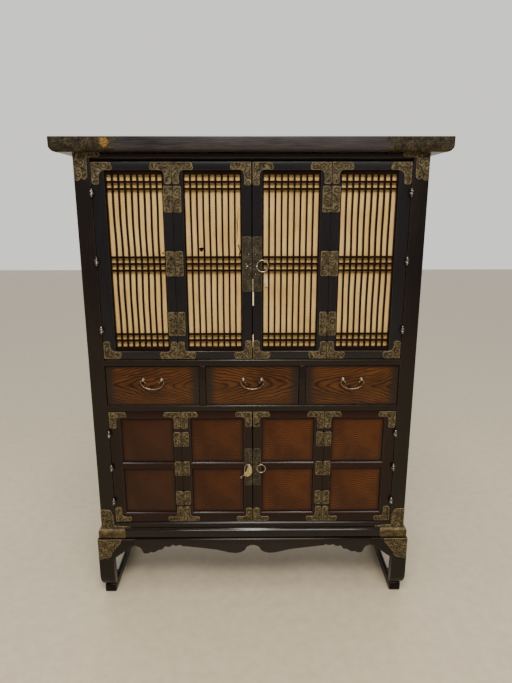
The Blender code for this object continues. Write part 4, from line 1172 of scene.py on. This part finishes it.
# %% [markdown]
# ## Lattice and paper
#
# The lattice is a grid of thin bars, half-lapped so that all of them lie in one plane. The upright bars
# of the real doors have warped a little, and on the outer leaves they wander from side to side. Each bar is
# a box that is cut across into short lengths, so its points can be moved sideways by a slow wave. The
# rows stay straight. The paper is one sheet behind the bars.

# %% Lattice
BARS = 8
BAR = 0.0050
ROW = 0.0056
ROW_PITCH = 0.0185
LATTICE_NEAR = LEAF_FACE + 0.0050
LATTICE_FAR = LATTICE_NEAR + 0.0090


def bend_bar(points, reach, phase, foot, head):
    for point in points:
        share = (point.co.z - foot) / (head - foot)
        point.co.x += reach * math.sin(math.pi * share) * math.sin(2 * math.pi * (2.1 * share) + phase)


def make_lattice(window, sway):
    x0, x1, z0, z1 = window
    left, right, low, high = x0 + FIT, x1 - FIT, z0 + FIT, z1 - FIT
    clear_left, clear_right = left + 0.0030, right - 0.0030
    clear_low, clear_high = low + 0.0120, high - 0.0100
    gap = (clear_right - clear_left - BARS * BAR) / (BARS + 1)
    middle = (clear_low + clear_high) / 2
    rows = [clear_low + ROW_PITCH, clear_low + 2 * ROW_PITCH, middle - ROW_PITCH, middle,
            middle + ROW_PITCH, clear_high - 2 * ROW_PITCH, clear_high - ROW_PITCH]
    shape = new_shape()
    border = ((left, clear_left, low, high), (clear_right, right, low, high),
              (clear_left, clear_right, low, clear_low), (clear_left, clear_right, clear_high, high))
    for first_x, last_x, first_z, last_z in border:
        eased_box(shape, (first_x, LATTICE_NEAR, first_z), (last_x, LATTICE_FAR, last_z), 0.0005, 1, 0.4)
    for row in rows:
        eased_box(shape, (clear_left, LATTICE_NEAR + 0.0004, row - ROW / 2),
                  (clear_right, LATTICE_FAR, row + ROW / 2), 0.0009, 2, 0.5)
    for number in range(BARS):
        start = clear_left + gap + number * (gap + BAR)
        part = new_shape()
        box(part, (start, LATTICE_NEAR, clear_low), (start + BAR, LATTICE_FAR - 0.0002, clear_high))
        uprights = [e for e in part.edges if abs(e.verts[0].co.z - e.verts[1].co.z) > 0.1]
        bmesh.ops.subdivide_edges(part, edges=uprights, cuts=16, use_grid_fill=True)
        bend_bar(part.verts, sway, number * 0.35, clear_low, clear_high)
        fronts = [e for e in part.edges if all(v.co.y < LATTICE_NEAR + 0.001 for v in e.verts)
                  and abs(e.verts[0].co.z - e.verts[1].co.z) > 0.001]
        ease(part, fronts, 0.0009, 2, 0.5)
        join_part(shape, part)
    return shape


# %% [markdown]
# The paper is old and has a few holes: a finger's hole, a crack and a tear in the inner left leaf and
# small ones in the others. A hole could be painted, but a real one lets the dark inside show from any side.
# The sheet's border and the rims of its holes are drawn as edges, and a triangle fill covers what lies
# between.

# %% Paper with holes
RING_POINTS = 9
CRACK_STEPS = 12


def ragged(middle, half):
    """A closed ragged ring about (x, z), half wide and half high. A sine makes it uneven."""
    ring = []
    for i in range(RING_POINTS):
        angle = 2 * math.pi * i / RING_POINTS
        swell = 1 + 0.30 * math.sin(i * 2.4 + middle[0] * 900)
        ring.append((middle[0] + half[0] * swell * math.cos(angle),
                     middle[1] + half[1] * swell * math.sin(angle)))
    return ring


def crack(top, foot, width, sway):
    """A narrow crooked slit from one (x, z) to another."""
    line = []
    for i in range(CRACK_STEPS + 1):
        t = i / CRACK_STEPS
        x, z = (a + (b - a) * t for a, b in zip(top, foot))
        bend = sway * math.sin(i * 2.1) + 0.5 * sway * math.sin(i * 0.9)
        line.append((x + bend, z, width / 2 * math.sin(math.pi * t)))
    return [(x - half, z) for x, z, half in line] + [(x + half, z) for x, z, half in reversed(line[1:-1])]


PAPER_HOLES = {
    "upper_left_inner": (
        ragged((-0.1412, 1.0948), (0.0066, 0.0060)),
        crack((-0.0375, 1.2160), (-0.0430, 1.1110), 0.0021, 0.0012),
        [(-0.0402, 1.1075), (-0.0356, 1.1085), (-0.0344, 1.0960), (-0.0316, 1.0905), (-0.0328, 1.0830),
         (-0.0350, 1.0766), (-0.0378, 1.0775), (-0.0360, 1.0850), (-0.0346, 1.0905), (-0.0372, 1.0965)],
    ),
    "upper_left_outer": (ragged((-0.2492, 1.0850), (0.0024, 0.0032)),
                         ragged((-0.3050, 0.9400), (0.0014, 0.0016))),
    "upper_right_inner": (ragged((0.0402, 0.9868), (0.0046, 0.0016)),
                          ragged((0.0345, 0.9480), (0.0012, 0.0014)),
                          ragged((0.0365, 0.9310), (0.0011, 0.0013))),
    "upper_right_outer": (ragged((0.3040, 0.9700), (0.0012, 0.0014)),),
}


def make_paper_sheet(node_name, holes):
    low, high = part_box(node_name)
    shape = new_shape()
    border = [(low.x, low.z), (high.x, low.z), (high.x, high.z), (low.x, high.z)]
    edges = []
    for ring in [border, *holes]:
        points = [shape.verts.new((x, low.y, z)) for x, z in ring]
        edges += [shape.edges.new((a, b)) for a, b in zip(points, points[1:] + points[:1])]
    bmesh.ops.triangle_fill(shape, edges=edges, use_beauty=True, use_dissolve=False)
    thicken(shape, shape.faces[:], high.y - low.y)
    bmesh.ops.recalc_face_normals(shape, faces=shape.faces)
    return shape


# %% [markdown]
# A flap of torn paper hangs by the right inner leaf's bars, and at the meeting line pale strips show
# where the lacquer is gone. Both are thin scraps, cut like the sheet brass and laid on the leaf.

# %% Pale scraps
TORN_FLAP = ((0.0325, 1.0190), (0.0375, 1.0236), (0.0452, 1.0246), (0.0458, 1.0110), (0.0448, 1.0020),
             (0.0460, 0.9935), (0.0425, 0.9890), (0.0385, 0.9950), (0.0335, 1.0050), (0.0345, 1.0130))
BARE_EDGES = ((0.0012, 0.0046, 0.9380, 0.9770, 0), (0.0012, 0.0026, 0.9790, 1.0140, SHEET),
              (0.0012, 0.0034, 0.8150, 0.8540, 0))
shape = new_shape()
cut_sheet(shape, TORN_FLAP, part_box("upper_right_inner_paper")[0].y, 0.0005, 0.0001)
for left, right, foot, head, lift in BARE_EDGES:
    corners = [(left, foot), (right, foot), (right, head), (left, head)]
    cut_sheet(shape, corners, LEAF_FACE - lift, 0.0002, 0.00005)
finish_piece("pale_scraps", shape, [pale_paper], "upper_right_inner_leaf")
print("scraps laid", 1 + len(BARE_EDGES))

# %% [markdown]
# ## The eight leaves
#
# Everything on one leaf is made together and rides on that leaf's body. The names say which tier, side
# and leaf they belong to, so a scene can find them. The panels grow redder from the left to the right,
# and the low ones have a fainter figure than the high ones.

# %% Make the leaves
PANELS = {
    ("left", "outer"): (0.11, ((0.019, 0.0058, 0.0018), (0.041, 0.0116, 0.0033), (0.062, 0.0190, 0.0052))),
    ("left", "inner"): (0.32, ((0.022, 0.0050, 0.0010), (0.056, 0.0142, 0.0023), (0.098, 0.0290, 0.0052))),
    ("right", "inner"): (0.36, ((0.028, 0.0066, 0.0014), (0.073, 0.0185, 0.0028), (0.128, 0.0370, 0.0062))),
    ("right", "outer"): (0.40, ((0.028, 0.0068, 0.0015), (0.073, 0.0192, 0.0032), (0.130, 0.0390, 0.0070))),
}
PANEL_SHARES = {"high": (1.0, 1.0), "low": (0.3, 0.6)}
SWAYS = {"upper_left_outer": 0.0011, "upper_left_inner": 0.0004,
         "upper_right_inner": 0.0001, "upper_right_outer": 0.0008}


def window_of(node_name):
    low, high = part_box(node_name)
    return (low.x - FIT, high.x + FIT, low.z - FIT, high.z + FIT)


def fill_upper_leaf(name, body, window):
    finish_piece(name + "_lattice_bars", make_lattice(window, SWAYS[name]), [lattice_lacquer], body,
                 [name + "_lattice"])
    shape = make_paper_sheet(name + "_paper", PAPER_HOLES[name])
    finish_piece(name + "_paper_sheet", shape, [paper], body, [name + "_paper"])


def fill_lower_leaf(name, body, amount, colours):
    for place_word, (sway_share, figure_share) in PANEL_SHARES.items():
        node_name = f"{name}_{place_word}_panel"
        wood = make_panel_wood(node_name + "_wood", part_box(node_name), colours, sway_share,
                               amount * figure_share)
        shape = copy_of(node_name)
        ease(shape, sharp_edges(shape), 0.0010, 2, 0.3)
        finish_piece(node_name + "_board", shape, [wood], body, [node_name])


def make_leaf(tier_word, side, side_word, leaf_word):
    tier = TIERS[tier_word]
    inner, upper = leaf_word == "inner", tier_word == "upper"
    name = f"{tier_word}_{side_word}_{leaf_word}"
    body = name + "_leaf"
    edges = sorted(side * e for e in (INNER_EDGES if inner else OUTER_EDGES))
    endings = ("_paper",) if upper else ("_low_panel", "_high_panel")
    windows = [window_of(name + ending) for ending in endings]
    shape = make_leaf_frame(edges, tier["foot"], tier["head"], windows, tier["slope"])
    finish_piece(name + "_door_frame", shape, [door_lacquer[tier_word, "Z"], door_lacquer[tier_word, "X"]],
                 body, [name + "_frame"])
    shape = new_shape()
    for middle in tier["plates"]:
        add_fold_plate(shape, side, inner, middle, tier)
    add_angles(shape, side, inner, tier)
    finish_piece(name + "_mounts", shape, [engraved_brass, nail_brass], body)
    shape = new_shape()
    if inner:
        add_lock_plate(shape, side, tier, side < 0 and not upper)
        finish_piece(name + "_lock_plate", shape, [plate_brass, nail_brass, pull_brass], body)
    else:
        for height in tier["barrels"]:
            add_barrel(shape, side, height, False)
        finish_piece(name + "_knuckles", shape, [hinge_metal], body)
    if upper:
        fill_upper_leaf(name, body, windows[0])
    else:
        fill_lower_leaf(name, body, *PANELS[side_word, leaf_word])


for tier_word in TIERS:
    for side, side_word in SIDES:
        for leaf_word in ("outer", "inner"):
            make_leaf(tier_word, side, side_word, leaf_word)
print("leaves made")

# %% [markdown]
# ## Drawers
#
# A drawer is a thick figured front on a plain box. The front is a board of its own, so that its arrises
# can be eased and its figure kept apart from the sides. Two studs with ball heads hold the bail.

# %% Drawer boxes
DRAWER_FACE = -0.1810
DRAWER_FRONT = 0.0180
DRAWER_WALL = 0.010
DRAWER_FLOOR = 0.008
DRAWERS = {"left": ((-0.355, 0.700), 1), "middle": ((0.085, 0.702), -1), "right": ((0.235, 0.697), 1)}

for word, (heart, opens) in DRAWERS.items():
    node_name, body = "drawer_" + word, word + "_drawer_box"
    low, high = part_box(node_name)
    near = DRAWER_FACE + DRAWER_FRONT
    left, right, back = low.x + DRAWER_WALL, high.x - DRAWER_WALL, high.y - DRAWER_WALL
    wood = make_drawer_wood(node_name + "_wood", heart, opens, (low, high))
    shape = new_shape()
    eased_box(shape, (low.x, DRAWER_FACE, low.z), (high.x, near, high.z), 0.0012, 3)
    finish_piece(node_name + "_front_board", shape, [wood], body, [node_name])
    shape = new_shape()
    for first, second in (((low.x, near, low.z), (left, high.y, high.z)),
                          ((right, near, low.z), (high.x, high.y, high.z)),
                          ((left, back, low.z), (right, high.y, high.z)),
                          ((left, near, low.z), (right, back, low.z + DRAWER_FLOOR))):
        eased_box(shape, first, second, 0.0008)
    finish_piece(node_name + "_box_boards", shape, [bare_wood["Y"]], body)
print("drawers made")

# %% [markdown]
# ## Bails
#
# A bail is one bent wire. It hangs from two studs, sags in a shallow bow, and its ends curl in and down to
# small balls. The wire is thickest at the bottom of the grip, where the fingers go, so the sweep is given
# a radius for every point of the path.

# %% Bails
BAIL_Y = -0.1890
BAIL_Z = 0.7183
STUD_X = 0.0270
CURL_X = STUD_X - 0.0066
SAG = 0.0285
GRIP_HALF = 0.0340
GRIP_TOP = 0.0045
GRIP_STEPS = 22
STUD = ((0.0, 0.0117), (0.0022, 0.0112), (0.0036, 0.0098), (0.0040, 0.0080), (0.0036, 0.0062),
        (0.0022, 0.0046), (0.0021, 0.0022), (0.0042, 0.0012), (0.0046, 0.0), (0.0, -0.0006))


def bail_path():
    """Centre line (x, z) from one curl to the other, about the middle of its axis."""
    curl = [(CURL_X, -0.0075), (STUD_X - 0.0040, -0.0050), (STUD_X - 0.0015, -0.0012),
            (STUD_X + 0.0008, 0.0006), (STUD_X + 0.0040, 0.0000), (GRIP_HALF - 0.0006, -0.0026)]
    angles = [math.pi * i / GRIP_STEPS for i in range(GRIP_STEPS + 1)]
    grip = [(GRIP_HALF * math.cos(a), -GRIP_TOP - (SAG - GRIP_TOP) * math.sin(a)) for a in angles]
    return curl + grip + [(-x, z) for x, z in reversed(curl)]


for word in DRAWERS:
    low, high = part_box("drawer_" + word)
    middle = (low.x + high.x) / 2
    radii = [0.0013 + 0.0007 * min(1.0, max(0.0, -z / SAG)) for _, z in bail_path()]
    wire = new_shape()
    sweep(wire, [(middle + x, BAIL_Y, BAIL_Z + z) for x, z in bail_path()], radii, 12)
    studs = new_shape()
    for side in (-1, 1):
        ball(wire, (middle + side * CURL_X, BAIL_Y, BAIL_Z - 0.0078), 0.0023)
        spin_profile(studs, STUD, (middle + side * STUD_X, DRAWER_FACE, BAIL_Z),
                     Matrix.Rotation(math.pi / 2, 4, "X"))
    finish_piece(word + "_bail_wire", wire, [bail_brass], word + "_drawer_bail", ["bail_" + word])
    finish_piece(word + "_bail_studs", studs, [pull_brass], word + "_drawer_box")
print("bails made")

# %% [markdown]
# ## Ring pulls and the padlock
#
# The two ring pulls are hoops of wire through the eyes of the lock plates. The padlock is a small cast
# crescent with a bow of wire through its own eye and the key left in its foot. Its outline is drawn in
# shares of its width and of its height.

# %% Rings
for word, radius in (("upper", 0.0160), ("lower", 0.0130)):
    shape = new_shape()
    hoop(shape, (EYE_X + radius, EYE_Y, TIERS[word]["eye"]), radius, 0.0014, steps=48, sides=12)
    finish_piece(word + "_ring_pull", shape, [pull_brass], word + "_pull_ring", [word + "_ring"])

# %% Padlock
LOCK_EYE = Vector((-EYE_X, EYE_Y, 0.4460))
LOCK_SIZE = (0.026, 0.040)
LOCK_BODY = ((0.060, -0.010), (0.250, 0.025), (0.365, 0.150), (0.440, 0.325), (0.460, 0.500), (0.405, 0.700),
             (0.230, 0.875), (-0.040, 0.975), (-0.345, 0.975), (-0.520, 0.875), (-0.540, 0.740),
             (-0.420, 0.610), (-0.280, 0.520), (-0.180, 0.400), (-0.130, 0.270), (-0.090, 0.140),
             (-0.030, 0.045))
LOCK_BOW = ((0.20, 0.03), (0.06, 0.0), (-0.19, 0.0), (-0.33, 0.07), (-0.43, 0.22), (-0.47, 0.45),
            (-0.47, 0.80))
KEY = ((-0.42, 0.78), (-0.88, 1.05))


def lock_points(shares):
    return [(LOCK_EYE.x + LOCK_SIZE[0] * a, LOCK_EYE.z - LOCK_SIZE[1] * d) for a, d in shares]


def add_lock_wire(shape, shares, radius, sides):
    path = [(x, EYE_Y, z) for x, z in lock_points(shares)]
    sweep(shape, path, [radius] * len(path), sides, 1)
    return path[-1]


shape = new_shape()
cut_sheet(shape, lock_points(LOCK_BODY), EYE_Y + 0.0028, 0.0056, 0.0016)
add_lock_wire(shape, LOCK_BOW, 0.0013, 10)
key_end = add_lock_wire(shape, KEY, 0.0012, 8)
hoop(shape, key_end, 0.0026, 0.0009, material=1)
finish_piece("crescent_padlock", shape, [lock_brass, iron], "hanging_padlock", ["padlock"])
print("rings and padlock made")

# %% [markdown]
# ## Floor, light and air
#
# The stand-in for the room is a pale floor, a pale sky, a wide soft lamp above the front and a narrower
# one overhead. The narrow one draws the bright lines along the tops of the rails. The sky is darker
# behind the camera, so that the lacquer stays black where it faces it.

# %% Stage
t = Finish("pale_floor")
speckle = t.noise(t.place(), 30, 5, 0.6)
colour = t.ramp(speckle, (0.3, (0.60, 0.50, 0.335)), (0.7, (0.69, 0.58, 0.40)))
floor_finish = t.done(colour, speckle, 0.2, 0.3, speckle, 0.0002)
shape = new_shape()
bmesh.ops.create_grid(shape, x_segments=1, y_segments=1, size=9)
add_object("studio_floor", mesh_from("studio_floor", shape, [floor_finish]))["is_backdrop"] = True


def add_lamp(name, place, aim, size, power):
    data = bpy.data.lights.new(name, "AREA")
    data.shape = "RECTANGLE"
    data.size, data.size_y = size
    data.energy = power
    data.color = (1.0, 0.97, 0.92)
    lamp = add_object(name, data)
    lamp.location = place
    lamp.rotation_euler = (Vector(aim) - Vector(place)).to_track_quat("-Z", "Y").to_euler()


add_lamp("front_softbox", (0.25, -2.7, 3.4), (0, 0, 0.6), (2.9, 1.1), 90)
add_lamp("overhead_strip", (-0.05, -1.45, 3.1), (-0.05, -1.40, 0), (0.30, 2.7), 50)
world = bpy.context.scene.world or bpy.data.worlds.new("air")
bpy.context.scene.world = world
world.use_nodes = True
air = Nodes(world.node_tree)
behind = air.axes(air.node("TexCoord").outputs["Generated"])["Y"]
glow = air.ramp(air.maths("MULTIPLY_ADD", behind, 0.5, 0.5),
                (0.30, (0.33, 0.33, 0.34)), (0.75, (1.0, 0.99, 0.96)))
air.fill(air.tree.nodes["Background"].inputs["Color"], glow)
print("stage set")

# %% Sizes and finish
sizes = [[list(corner) for corner in pair] for pair in (cad_box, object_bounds())]
print("solids", sizes[0], "dressed", sizes[1])
